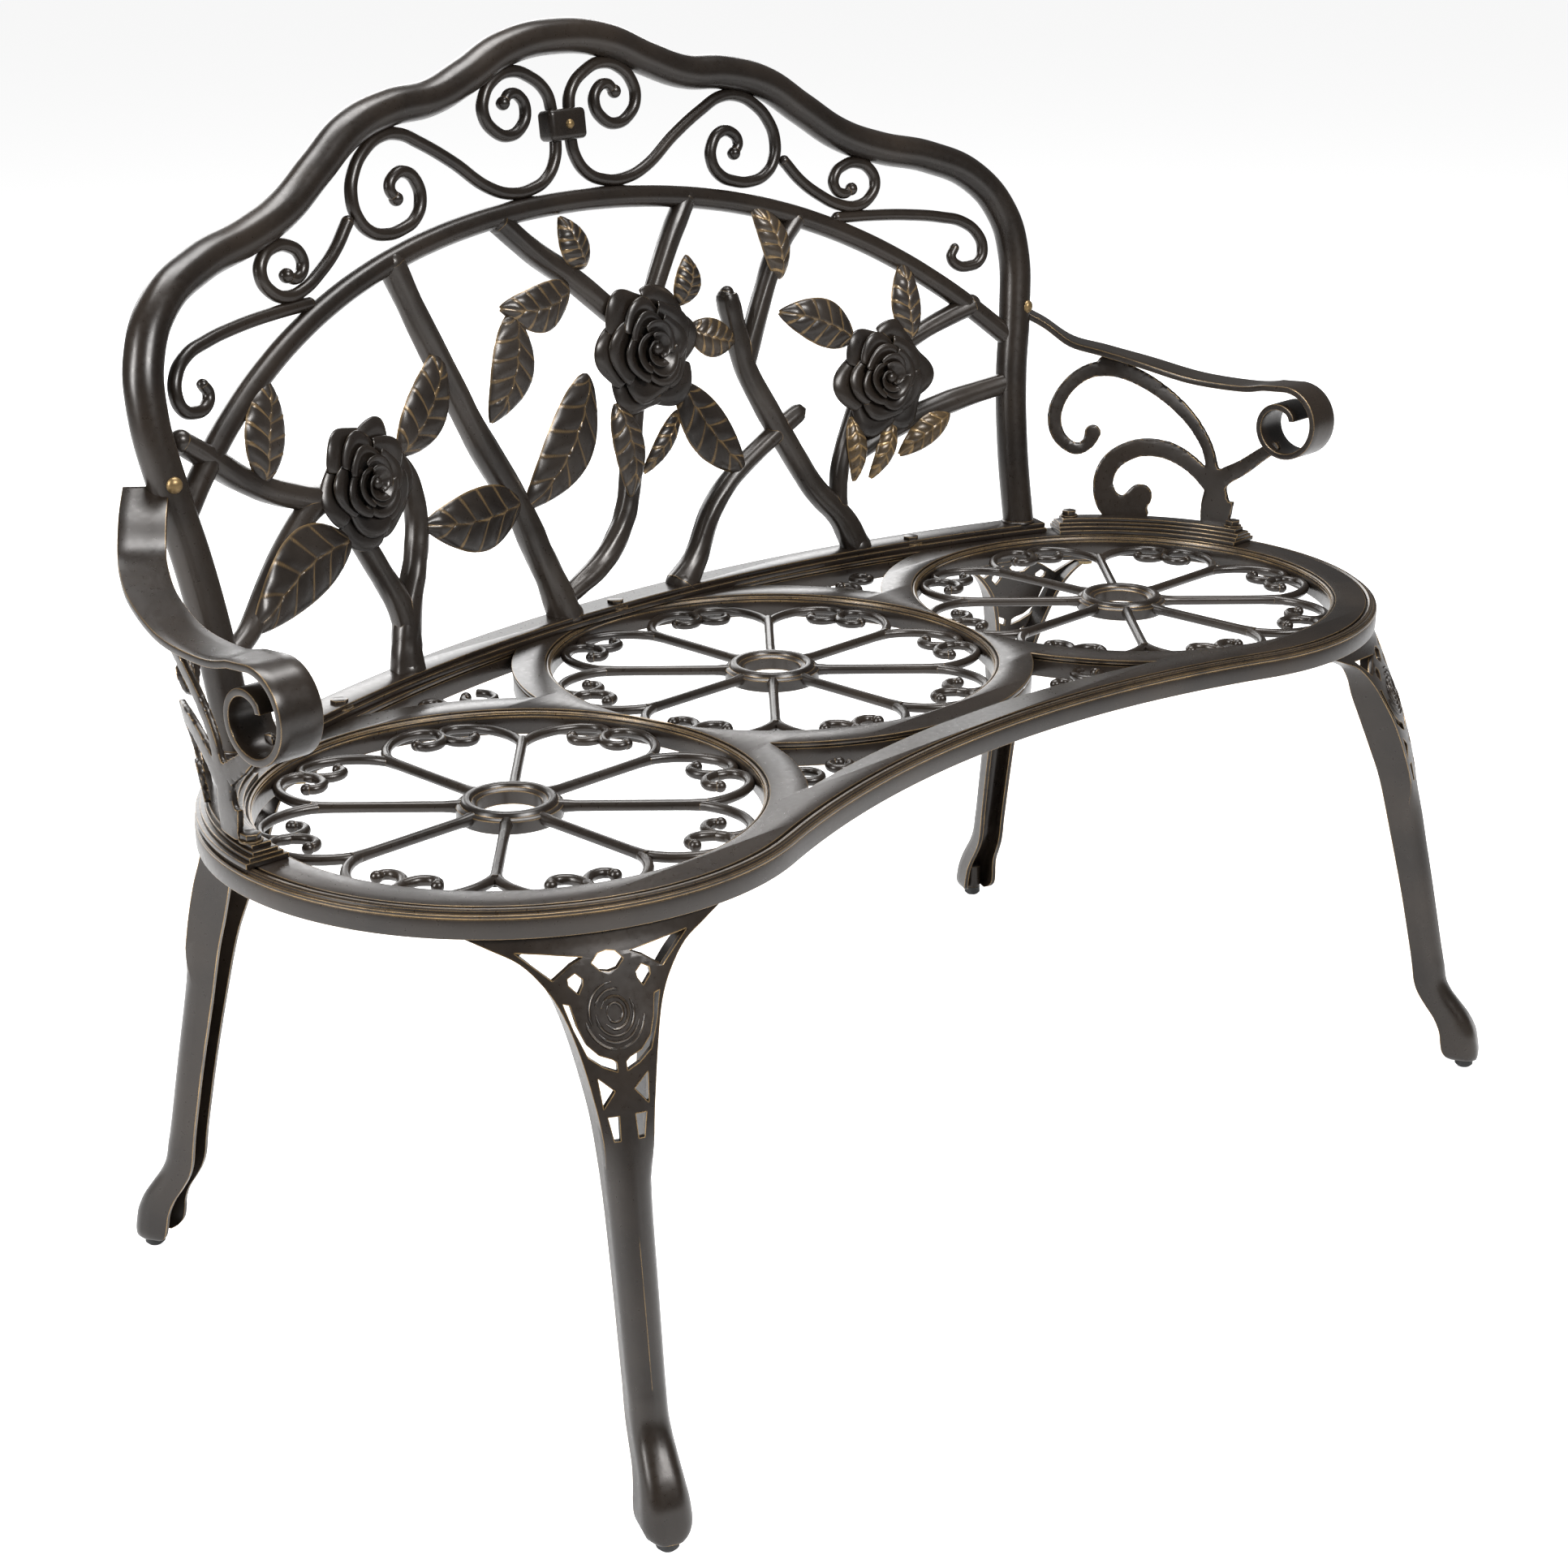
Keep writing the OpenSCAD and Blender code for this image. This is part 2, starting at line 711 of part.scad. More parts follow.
// centre of the arm bar: height is measured above the seat rim
bar_start_z = raise(544);
bar_start_y = back_y(back_half, bar_start_z) + 6.5;
bar_path = [
    [back_half + 17, bar_start_y, bar_start_z - seat_height],
    [lobe_spacing + 132, bar_start_y - 6, raise(536) - seat_height],
    [lobe_spacing + 146, 171, 154],
    [lobe_spacing + 161, 147, 147],
    [lobe_spacing + 176, 115, 139],
    [lobe_spacing + 188, 70, 130],
    [roll_x, 22, 129],
    [roll_x, -2, 133]
];
function roll_point(a, r) = [roll_x, roll_y - r * sin(a), roll_z + r * cos(a)];
roll_steps = [
    [0, 1], [30, 1], [60, 0.99], [90, 0.98], [120, 0.97], [150, 0.955], [180, 0.94], [210, 0.91],
    [240, 0.86], [270, 0.78], [300, 0.66], [330, 0.53], [360, 0.43], [395, 0.36], [430, 0.3]
];
bar_line = concat(
    smooth([for (q = bar_path) [q[0], q[1], q[2] + seat_height]], 3),
    [for (q = roll_steps) roll_point(q[0], q[1] * roll_radius)]
);
bar_plan_count = 3 * (len(bar_path) - 1) + 1;
function bar_side(i) =
    i >= bar_plan_count - 1
    ? [1, 0, 0]
    : let (t = tangent(bar_line, i)) unit([-t[1], t[0], 0]);
module arm_bar() {
    corners = [
        for (i = [0 : len(bar_line) - 1])
            let (t = tangent(bar_line, i), w = bar_side(i), n = unit(cross(t, w)),
                a = w * (i == 0 ? 8 : bar_width / 2), b = n * bar_thick / 2)
                each [bar_line[i] + a + b, bar_line[i] - a + b, bar_line[i] - a - b, bar_line[i] + a - b]
    ];
    color(metal)
        placed()
            polyhedron(corners, strip_faces(len(bar_line), 4), convexity = 10);
}
// the bracket stands on a curve around the side grille and leans out towards the bar
bracket_r = lobe_r - 9;
function bracket_out(along, z) =
    bracket_r + 0.2 * max(z - arm_base_top, 0) * min(max(along, 0) / 105, 1);
function bracket_at(q) =
    let (a = 7.6 + q[0] * 180 / (PI * bracket_r), r = bracket_out(q[0], q[1]))
        [r * cos(a), r * sin(a), seat_height + q[1]];
// a flat ribbon of the bracket through [distance along, height above rim, width]
module bracket_ribbon(line, n = 2) {
    path = smooth(line, n);
    for (i = [0 : len(path) - 2])
        hull() {
            bracket_disc(path[i]);
            bracket_disc(path[i + 1]);
        }
}
module bracket_disc(q) {
    p = bracket_at(q);
    translate(p)
        rotate([0, 0, atan2(p[1], p[0])])
            rotate([0, 90, 0])
                cylinder(r = q[2] / 2, h = bracket_thick, center = true, $fn = 8);
}
module arm_bracket() {
    color(metal)
        placed()
            difference() {
                at_lobe(1) {
                    // stem, then its limb to the roll
                    bracket_ribbon([[16, 6, 26], [17, 30, 24], [14, 48, 16], [-6, 62, 13],
                        [-24, 76, 11], [-36, 84, 10]]);
                    // leaf tip at the foot of the stem
                    bracket_ribbon([[2, 30, 4], [8, 22, 14], [16, 8, 22]], 1);
                    // upper arc and its curl
                    bracket_ribbon([[20, 50, 11], [28, 75, 10], [46, 98, 11], [72, 118, 12],
                        [100, 131, 13], [124, 131, 12], [142, 118, 11], [152, 98, 11],
                        [150, 79, 11], [137, 67, 10], [124, 72, 10], [122, 80, 14]]);
                    bracket_ribbon([[100, 136, 10], [114, 138, 10]], 1);
                    // lower arc and its curl
                    bracket_ribbon([[24, 44, 13], [40, 58, 14], [62, 68, 15], [86, 68, 15],
                        [106, 56, 16], [113, 37, 17], [106, 20, 22], [92, 18, 22],
                        [81, 28, 22]]);
                    bracket_ribbon([[82, 8, 20], [102, 8, 20]], 1);
                }
                translate([0, -500, seat_height - 50])
                    cube([1000, 1000, 50 + arm_base_top + 0.01]);
                translate([roll_x, roll_y, roll_z])
                    rotate([0, 90, 0])
                        cylinder(r = roll_radius + bar_thick / 2 + touch, h = 200, center = true, $fn = 64);
                arm_bar_space();
            }
}
module arm_bar_space() {
    // everything at and above the underside of the arm bar
    for (i = [0 : bar_plan_count - 2])
        hull()
            for (k = [i, i + 1])
                let (w = bar_side(k), p = bar_line[k])
                    for (s = [-1, 1])
                        translate(p + s * w * bar_width + [0, 0, 20 - bar_thick / 2 - touch])
                            cube([0.1, 0.1, 40], center = true);
}
module arm_base() {
    color(metal)
        placed()
            at_lobe(1)
                difference() {
                    union() {
                        translate([0, 0, seat_height])
                            linear_extrude(arm_step_low)
                                sector(arm_in, arm_out, arm_from, arm_to);
                        translate([0, 0, seat_height + arm_step_low])
                            linear_extrude(arm_base_top - arm_step_low)
                                sector(arm_in + 6, arm_out - 3, arm_from + 1.5, arm_to - 1.5);
                    }
                    for (a = [arm_from + 4, arm_to - 4])
                        rotate([0, 0, a])
                            translate([lobe_r - 13, 0, seat_height - 1])
                                cylinder(r = screw_r + hole_clearance, h = arm_base_top + 2, $fn = 48);
                }
}
module for_side(side) {
    mirror([side < 0 ? 1 : 0, 0, 0])
        children();
}

// ---------- legs ----------
// [height share, share of the splay, width, depth]
leg_steps = [
    [0, 1, 33, 27], [0.035, 0.99, 33, 28], [0.07, 0.965, 30, 27.5], [0.1, 0.915, 27, 27],
    [0.128, 0.845, 25, 26.5], [0.157, 0.77, 23.5, 25], [0.186, 0.72, 23, 23],
    [0.224, 0.69, 23, 22], [0.267, 0.655, 23.5, 21], [0.412, 0.56, 24.5, 21.5],
    [0.557, 0.461, 26, 23], [0.673, 0.389, 31, 25], [0.746, 0.33, 38, 27],
    [0.819, 0.253, 48, 27], [0.877, 0.172, 60, 24], [0.92, 0.113, 76, 19],
    [0.958, 0.059, 100, 14], [0.98, 0.025, 130, 10], [1, 0, 160, 8]
];
function leg_reach(end) = end == 0 ? front_leg_reach : rear_leg_reach;
function leg_angle(end) = end == 0 ? front_leg_angle : rear_leg_angle;
// end 0 is the front; the child is drawn as the front leg, straight ahead of the lobe
module leg_place(side, end) {
    mirror([side < 0 ? 1 : 0, 0, 0])
        translate([lobe_spacing, 0, 0])
            mirror([0, end, 0])
                rotate([0, 0, leg_angle(end)])
                    children();
}
function arc_point(u, r) = [u, -sqrt(r * r - u * u)];
function leg_section(w, r, d) =
    let (h = w / 2, k = h - leg_wall, back = arc_point(h, r)[1] + d)
        [
            for (j = [2 : -1 : -2]) arc_point(h * j / 2, r),
            [-h, back],
            [-k, back],
            for (j = [-2 : 2]) arc_point(k * j / 2, r - leg_wall),
            [k, back],
            [h, back]
        ];
module leg(end) {
    foot_r = leg_reach(end) + foot_out;
    rise = seat_under - foot_z;
    pts = [
        for (q = leg_steps)
            let (z = foot_z + q[0] * rise, r = leg_top_r + q[1] * (foot_r - leg_top_r))
                for (c = leg_section(q[2], r, q[3]))
                    [c[0], c[1], z]
    ];
    polyhedron(pts, strip_faces(len(leg_steps), 14), convexity = 10);
    // flange under the seat rim, a strip of rounded ears with a hole for each bolt
    difference() {
        for (k = [0 : 7])
            hull()
                for (a = [k - 4, k - 3])
                    rotate([0, 0, 4.5 * a])
                        translate([0, -flange_r, seat_under - flange_thick])
                            cylinder(r = flange_ear, h = flange_thick, $fn = 16);
        for (s = [-1, 1])
            translate(bolt_spot(s) + [0, 0, seat_under - 20])
                cylinder(r = bolt_r + hole_clearance, h = 40, $fn = 32);
    }
}
module leg_at(side, end) {
    color(metal)
        placed()
            leg_place(side, end)
                leg(end);
}
module foot_sockets() {
    color(zinc)
        placed()
            for (side = [-1, 1])
                for (end = [0, 1])
                    leg_place(side, end)
                        translate([0, -leg_reach(end), foot_z])
                            difference() {
                                cylinder(r = foot_out - leg_wall - 0.2, h = socket_height, $fn = 48);
                                translate([0, 0, -1])
                                    cylinder(r = bolt_r, h = socket_height + 2, $fn = 48);
                            }
}
module glide(side, end) {
    color(plastic)
        placed()
            leg_place(side, end)
                translate([0, -leg_reach(end), 0]) {
                    rotate_extrude($fn = 64)
                        polygon([
                            [0, 0],
                            [glide_radius - 2, 0],
                            [glide_radius, 2],
                            [glide_radius, glide_height],
                            [bolt_r - stud_clearance, glide_height],
                            [bolt_r - stud_clearance, foot_z + socket_height - 1],
                            [0, foot_z + socket_height - 1]
                        ]);
                }
}

// ---------- fixings ----------
module screw(head_r, head_h, r, length) {
    // domed head above z = 0, shank below
    rotate_extrude($fn = 48)
        polygon([
            [0, -length],
            [r, -length],
            [r, 0],
            [head_r, 0],
            [head_r, 0.5 * head_h],
            [0.6 * head_r, head_h],
            [0, head_h]
        ]);
}
module nut(bore) {
    difference() {
        cylinder(r = 1.85 * bore, h = nut_h, $fn = 6);
        translate([0, 0, -1])
            cylinder(r = bore, h = nut_h + 2, $fn = 48);
    }
}
module rail_screws() {
    color(zinc)
        placed()
            rail_spots()
                translate([0, 0, rail_top])
                    screw(5.5, screw_head_h, screw_r, rail_thick + plate_wall + nut_h + 2);
}
module rail_nuts() {
    color(zinc)
        placed()
            rail_spots()
                translate([0, 0, plate_under - nut_h])
                    nut(screw_r);
}
module arm_base_screws() {
    color(zinc)
        placed()
            arm_spots()
                translate([0, 0, seat_height + arm_base_top])
                    screw(5.5, screw_head_h, screw_r, arm_base_top + plate_wall + nut_h + 2);
}
module arm_base_nuts() {
    color(zinc)
        placed()
            arm_spots()
                translate([0, 0, plate_under - nut_h])
                    nut(screw_r);
}
module arm_tube_screws() {
    z = raise(556);
    x = back_half + 1;
    color(zinc)
        placed()
            for (m = [0, 1])
                mirror([m, 0, 0])
                    translate([x, back_y(x, z), z])
                        rotate([90, 0, 10])
                            translate([0, 0, tube_r])
                                screw(5.5, screw_head_h, screw_r, tube_diameter + 6);
}
module leg_bolts() {
    color(zinc)
        placed()
            boss_spots()
                translate([0, 0, seat_under - flange_thick - 5.3]) {
                    cylinder(r = 1.6 * bolt_r, h = 5.3, $fn = 6);
                    cylinder(r = bolt_r, h = 5.3 + flange_thick + 11, $fn = 48);
                }
}

seat_frame();
hub(-1);  // hub_left
hub(0);  // hub_middle
hub(1);  // hub_right
spokes(-1);  // spokes_left
spokes(0);  // spokes_middle
spokes(1);  // spokes_right
curls(-1);  // curls_left
curls(0);  // curls_middle
curls(1);  // curls_right
front_spandrel_scrolls();
rear_spandrel_scrolls();
back_rail();
back_tube();
back_arch();
back_rod(crest_curl, -1);  // crest_curl_left
back_rod(crest_curl, 1);  // crest_curl_right
back_rod(scroll_rod, -1);  // scroll_rod_left
back_rod(scroll_rod, 1);  // scroll_rod_right
back_rod(small_scroll, -1);  // small_scroll_left
back_rod(small_scroll, 1);  // small_scroll_right
back_rod(hook_rod, -1);  // hook_rod_left
back_rod(hook_rod, 1);  // hook_rod_right
collar();
collar_rivet();
branches_left();
branches_middle();
branches_right();
rose(-242, 516, 44);  // rose_left
rose(55, 564, 49);  // rose_middle
rose(287, 512, 45);  // rose_right
leaves_left();
leaves_middle();
leaves_right();
for_side(-1) arm_bar();  // arm_bar_left
for_side(1) arm_bar();  // arm_bar_right
for_side(-1) arm_bracket();  // arm_bracket_left
for_side(1) arm_bracket();  // arm_bracket_right
for_side(-1) arm_base();  // arm_base_left
for_side(1) arm_base();  // arm_base_right
leg_at(-1, 0);  // leg_front_left
leg_at(1, 0);  // leg_front_right
leg_at(-1, 1);  // leg_rear_left
leg_at(1, 1);  // leg_rear_right
foot_sockets();
glide(-1, 0);  // glide_front_left
glide(1, 0);  // glide_front_right
glide(-1, 1);  // glide_rear_left
glide(1, 1);  // glide_rear_right
rail_screws();
rail_nuts();
arm_base_screws();
arm_base_nuts();
arm_tube_screws();
leg_bolts();
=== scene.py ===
"""Garden bench in cast metal with an antique bronze coat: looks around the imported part."""
import math
import random

import bpy
from mathutils import Matrix, Vector


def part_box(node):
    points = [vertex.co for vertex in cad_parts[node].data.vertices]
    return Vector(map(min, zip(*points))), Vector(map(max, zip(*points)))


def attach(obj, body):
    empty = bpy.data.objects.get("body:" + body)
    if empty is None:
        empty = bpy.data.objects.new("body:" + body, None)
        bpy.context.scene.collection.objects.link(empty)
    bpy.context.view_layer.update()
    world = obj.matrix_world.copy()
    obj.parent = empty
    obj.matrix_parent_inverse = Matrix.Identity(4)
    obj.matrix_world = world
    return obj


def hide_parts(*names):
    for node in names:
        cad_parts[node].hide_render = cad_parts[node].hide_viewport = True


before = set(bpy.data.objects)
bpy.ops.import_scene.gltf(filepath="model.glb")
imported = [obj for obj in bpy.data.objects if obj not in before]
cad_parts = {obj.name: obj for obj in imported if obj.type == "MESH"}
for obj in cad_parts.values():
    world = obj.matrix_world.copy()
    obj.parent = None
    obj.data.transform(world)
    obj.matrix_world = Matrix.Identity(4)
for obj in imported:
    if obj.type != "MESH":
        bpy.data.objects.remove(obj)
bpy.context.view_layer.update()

MM = 0.001
BODY = "bench"

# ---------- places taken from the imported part, in millimetres ----------


def middle_of(node):
    """Centre of a node's box."""
    low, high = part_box(node)
    return (low + high) / 2 / MM


SEAT_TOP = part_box("seat_frame")[1].z / MM
SEAT_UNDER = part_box("seat_frame")[0].z / MM
LOBE_X = middle_of("hub_right").x
LOBE_Y = middle_of("hub_right").y
MIDDLE_Y = middle_of("hub_middle").y
LOBE_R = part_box("seat_frame")[1].x / MM - LOBE_X
GRILLE_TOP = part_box("hub_right")[1].z / MM
HUB_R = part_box("hub_right")[1].x / MM - LOBE_X
SPOKE_Z = middle_of("spokes_right").z
RAIL_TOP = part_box("back_rail")[1].z / MM
RAIL_WIDTH = 24
OPENING_R = LOBE_R - 34
FRONT_REACH = 140
REAR_REACH = 264
WEB = 27
BACK_FOOT = REAR_REACH - 4 - RAIL_WIDTH / 2
BACK_HALF = LOBE_X + 104
BACK_SWEEP = 85
BACK_R = (BACK_HALF ** 2 + BACK_SWEEP ** 2) / (2 * BACK_SWEEP)
LEAN = math.tan(math.radians(6.7))
END_LEAN = math.tan(math.radians(4.9))
TUBE_R = 13
ARCH_R = 8.5
ROD_R = 4.7


# ---------- small modelling helpers ----------


def clear():
    bpy.ops.object.select_all(action="DESELECT")


def only(piece):
    clear()
    piece.select_set(True)
    bpy.context.view_layer.objects.active = piece


def apply_modifier(piece, kind, **values):
    """Adds a modifier, sets it up and applies it."""
    only(piece)
    modifier = piece.modifiers.new(kind.title(), kind)
    for key, value in values.items():
        setattr(modifier, key, value)
    bpy.ops.object.modifier_apply(modifier=modifier.name)


def weld(piece, distance=0.01):
    """Merges doubles and turns every face outwards."""
    only(piece)
    bpy.ops.object.mode_set(mode="EDIT")
    bpy.ops.mesh.select_all(action="SELECT")
    bpy.ops.mesh.remove_doubles(threshold=distance)
    bpy.ops.mesh.normals_make_consistent(inside=False)
    bpy.ops.object.mode_set(mode="OBJECT")


def join(pieces, name):
    clear()
    for piece in pieces:
        piece.select_set(True)
    bpy.context.view_layer.objects.active = pieces[0]
    if len(pieces) > 1:
        bpy.ops.object.join()
    pieces[0].name = name
    return pieces[0]


def move(piece, matrix):
    """Moves a piece's mesh, and turns it right side out if the move mirrors it."""
    piece.data.transform(matrix)
    if matrix.determinant() < 0:
        piece.data.flip_normals()
    return piece


def copy_of(piece, matrix=None):
    clear()
    twin = piece.copy()
    twin.data = piece.data.copy()
    bpy.context.scene.collection.objects.link(twin)
    if matrix is not None:
        move(twin, matrix)
    return twin


def to_metres(piece):
    piece.data.transform(Matrix.Scale(MM, 4))


def finish_piece(piece, name, material, nodes, angle=35):
    """Names a piece, scales it to metres, gives it its finish and hangs it on the bench."""
    piece.name = name
    to_metres(piece)
    only(piece)
    bpy.ops.object.shade_smooth_by_angle(angle=math.radians(angle))
    piece.data.materials.clear()
    piece.data.materials.append(material)
    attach(piece, BODY)
    if nodes:
        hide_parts(*nodes)
    return piece


def grid(name, columns, rows, place):
    """A sheet of quads; place(u, v) gives each corner, with u and v from 0 to 1."""
    clear()
    bpy.ops.mesh.primitive_grid_add(x_subdivisions=columns, y_subdivisions=rows, size=2)
    piece = bpy.context.object
    piece.name = name
    for corner in piece.data.vertices:
        u = (corner.co.x + 1) / 2
        v = (corner.co.y + 1) / 2
        corner.co = place(u, v)
    return piece


def line(points, closed=False, straight=False):
    """A curve through points."""
    clear()
    bpy.ops.curve.primitive_bezier_curve_add()
    piece = bpy.context.object
    piece.data.dimensions = "3D"
    spline = piece.data.splines[0]
    spline.bezier_points.add(len(points) - 2)
    for knot, point in zip(spline.bezier_points, points):
        knot.co = point[:3]
        knot.handle_left_type = "VECTOR" if straight else "AUTO"
        knot.handle_right_type = "VECTOR" if straight else "AUTO"
    spline.use_cyclic_u = closed
    return piece


def to_mesh(piece):
    only(piece)
    bpy.ops.object.convert(target="MESH")
    return bpy.context.object


def rod(points, radius, swell=None, closed=False, sides=3, steps=8, flat=False):
    """A round rod along a curve; swell gives each point's share of the radius."""
    piece = line(points, closed)
    piece.data.bevel_depth = radius
    piece.data.bevel_resolution = sides
    piece.data.resolution_u = steps
    piece.data.use_fill_caps = True
    piece.data.twist_mode = "Z_UP" if flat else "MINIMUM"
    for k, knot in enumerate(piece.data.splines[0].bezier_points):
        knot.radius = swell[k] if swell else 1
    return to_mesh(piece)


def ball(centre, radius, flatten=1.0):
    clear()
    bpy.ops.mesh.primitive_uv_sphere_add(segments=20, ring_count=12, radius=radius, location=centre)
    piece = bpy.context.object
    bpy.ops.object.transform_apply(location=True, rotation=False, scale=False)
    return piece


def ring(centre, radius, thick, segments=96, sides=10):
    """A round bead lying flat."""
    clear()
    bpy.ops.mesh.primitive_torus_add(
        major_radius=radius, minor_radius=thick, major_segments=segments,
        minor_segments=sides, location=centre)
    bpy.ops.object.transform_apply(location=True, rotation=False, scale=False)
    return bpy.context.object


def plate(loops, low, high, bevel=0.7):
    """A flat plate with holes, its edges rounded by bevel; loops are lists of [x, y]."""
    clear()
    bpy.ops.curve.primitive_bezier_curve_add()
    piece = bpy.context.object
    curve = piece.data
    curve.dimensions = "2D"
    curve.fill_mode = "BOTH"
    curve.splines.clear()
    for loop in loops:
        spline = curve.splines.new("POLY")
        spline.points.add(len(loop) - 1)
        for knot, point in zip(spline.points, loop):
            knot.co = (point[0], point[1], 0, 1)
        spline.use_cyclic_u = True
    curve.extrude = (high - low) / 2 - bevel
    curve.bevel_depth = bevel
    curve.bevel_resolution = 1
    curve.offset = -bevel
    piece = to_mesh(piece)
    move(piece, Matrix.Translation((0, 0, (low + high) / 2)))
    weld(piece, 0.001)
    return piece


def arc(centre, radius, start, end, steps):
    """Points along an arc, both ends included."""
    return [
        [
            centre[0] + radius * math.cos(start + (end - start) * k / steps),
            centre[1] + radius * math.sin(start + (end - start) * k / steps),
        ]
        for k in range(steps + 1)
    ]


def circle(centre, radius, steps=120):
    return arc(centre, radius, 0, 2 * math.pi * (steps - 1) / steps, steps - 1)


def smooth_line(points, steps):
    """A smooth line through points of any number of values."""
    out = []
    last = len(points) - 1
    for i in range(last):
        a = points[max(i - 1, 0)]
        b = points[i]
        c = points[i + 1]
        d = points[min(i + 2, last)]
        for k in range(steps):
            t = k / steps
            out.append([
                0.5 * (2 * q + (r - p) * t + (2 * p - 5 * q + 4 * r - s) * t * t
                       + (3 * q - p - 3 * r + s) * t ** 3)
                for p, q, r, s in zip(a, b, c, d)
            ])
    out.append(list(points[-1]))
    return out


# ---------- finishes ----------


def socket(group, name, kind, inside, value=None):
    item = group.interface.new_socket(name=name, in_out=inside, socket_type=kind)
    if value is not None:
        item.default_value = value
    return item


def rubbed_edge_group():
    """Where hands and a cloth have rubbed the coat: proud edges, broken up by a fine noise."""
    group = bpy.data.node_groups.new("rubbed_edges", "ShaderNodeTree")
    socket(group, "Width", "NodeSocketFloat", "INPUT", 0.001)
    socket(group, "Strength", "NodeSocketFloat", "INPUT", 1.0)
    socket(group, "Gold", "NodeSocketFloat", "INPUT", 0.0)
    socket(group, "Mask", "NodeSocketFloat", "OUTPUT")
    nodes = group.nodes
    links = group.links
    entry = nodes.new("NodeGroupInput")
    exit_ = nodes.new("NodeGroupOutput")
    bevel = nodes.new("ShaderNodeBevel")
    bevel.samples = 6
    links.new(entry.outputs["Width"], bevel.inputs["Radius"])
    geometry = nodes.new("ShaderNodeNewGeometry")
    dot = nodes.new("ShaderNodeVectorMath")
    dot.operation = "DOT_PRODUCT"
    links.new(bevel.outputs["Normal"], dot.inputs[0])
    links.new(geometry.outputs["Normal"], dot.inputs[1])
    edge = nodes.new("ShaderNodeMapRange")
    edge.inputs["From Min"].default_value = 0.975
    edge.inputs["From Max"].default_value = 0.90
    links.new(dot.outputs["Value"], edge.inputs["Value"])
    shut = nodes.new("ShaderNodeAmbientOcclusion")
    shut.samples = 6
    shut.inputs["Distance"].default_value = 0.004
    proud = nodes.new("ShaderNodeMapRange")
    proud.inputs["From Min"].default_value = 0.62
    proud.inputs["From Max"].default_value = 0.86
    links.new(shut.outputs["AO"], proud.inputs["Value"])
    outer = nodes.new("ShaderNodeMath")
    outer.operation = "MULTIPLY"
    links.new(edge.outputs["Result"], outer.inputs[0])
    links.new(proud.outputs["Result"], outer.inputs[1])
    both = nodes.new("ShaderNodeMath")
    both.operation = "MAXIMUM"
    links.new(outer.outputs["Value"], both.inputs[0])
    links.new(entry.outputs["Gold"], both.inputs[1])
    coordinates = nodes.new("ShaderNodeTexCoord")
    noise = nodes.new("ShaderNodeTexNoise")
    noise.inputs["Scale"].default_value = 55
    noise.inputs["Detail"].default_value = 5
    noise.inputs["Roughness"].default_value = 0.65
    links.new(coordinates.outputs["Object"], noise.inputs["Vector"])
    patchy = nodes.new("ShaderNodeMapRange")
    patchy.inputs["From Min"].default_value = 0.30
    patchy.inputs["From Max"].default_value = 0.62
    patchy.inputs["To Min"].default_value = 0.25
    patchy.inputs["To Max"].default_value = 1.0
    links.new(noise.outputs["Fac"], patchy.inputs["Value"])
    broken = nodes.new("ShaderNodeMath")
    broken.operation = "MULTIPLY"
    links.new(both.outputs["Value"], broken.inputs[0])
    links.new(patchy.outputs["Result"], broken.inputs[1])
    final = nodes.new("ShaderNodeMath")
    final.operation = "MULTIPLY"
    final.use_clamp = True
    links.new(broken.outputs["Value"], final.inputs[0])
    links.new(entry.outputs["Strength"], final.inputs[1])
    links.new(final.outputs["Value"], exit_.inputs["Mask"])
    return group


def coat_skin_group():
    """The coat itself: slow changes of brown and fine orange peel."""
    group = bpy.data.node_groups.new("coat_skin", "ShaderNodeTree")
    socket(group, "Dark", "NodeSocketColor", "INPUT", (0.02, 0.015, 0.012, 1))
    socket(group, "Light", "NodeSocketColor", "INPUT", (0.04, 0.03, 0.024, 1))
    socket(group, "Color", "NodeSocketColor", "OUTPUT")
    socket(group, "Roughness", "NodeSocketFloat", "OUTPUT")
    socket(group, "Height", "NodeSocketFloat", "OUTPUT")
    nodes = group.nodes
    links = group.links
    entry = nodes.new("NodeGroupInput")
    exit_ = nodes.new("NodeGroupOutput")
    coordinates = nodes.new("ShaderNodeTexCoord")
    slow = nodes.new("ShaderNodeTexNoise")
    slow.inputs["Scale"].default_value = 14
    slow.inputs["Detail"].default_value = 4
    links.new(coordinates.outputs["Object"], slow.inputs["Vector"])
    tone = nodes.new("ShaderNodeMapRange")
    tone.inputs["From Min"].default_value = 0.35
    tone.inputs["From Max"].default_value = 0.65
    links.new(slow.outputs["Fac"], tone.inputs["Value"])
    mix = nodes.new("ShaderNodeMix")
    mix.data_type = "RGBA"
    links.new(tone.outputs["Result"], mix.inputs["Factor"])
    links.new(entry.outputs["Dark"], mix.inputs["A"])
    links.new(entry.outputs["Light"], mix.inputs["B"])
    links.new(mix.outputs["Result"], exit_.inputs["Color"])
    fine = nodes.new("ShaderNodeTexNoise")
    fine.inputs["Scale"].default_value = 260
    fine.inputs["Detail"].default_value = 2
    links.new(coordinates.outputs["Object"], fine.inputs["Vector"])
    rough = nodes.new("ShaderNodeMapRange")
    rough.inputs["From Min"].default_value = 0.3
    rough.inputs["From Max"].default_value = 0.7
    rough.inputs["To Min"].default_value = 0.27
    rough.inputs["To Max"].default_value = 0.34
    links.new(fine.outputs["Fac"], rough.inputs["Value"])
    links.new(rough.outputs["Result"], exit_.inputs["Roughness"])
    links.new(fine.outputs["Fac"], exit_.inputs["Height"])
    return group


RUBBED = rubbed_edge_group()
SKIN = coat_skin_group()


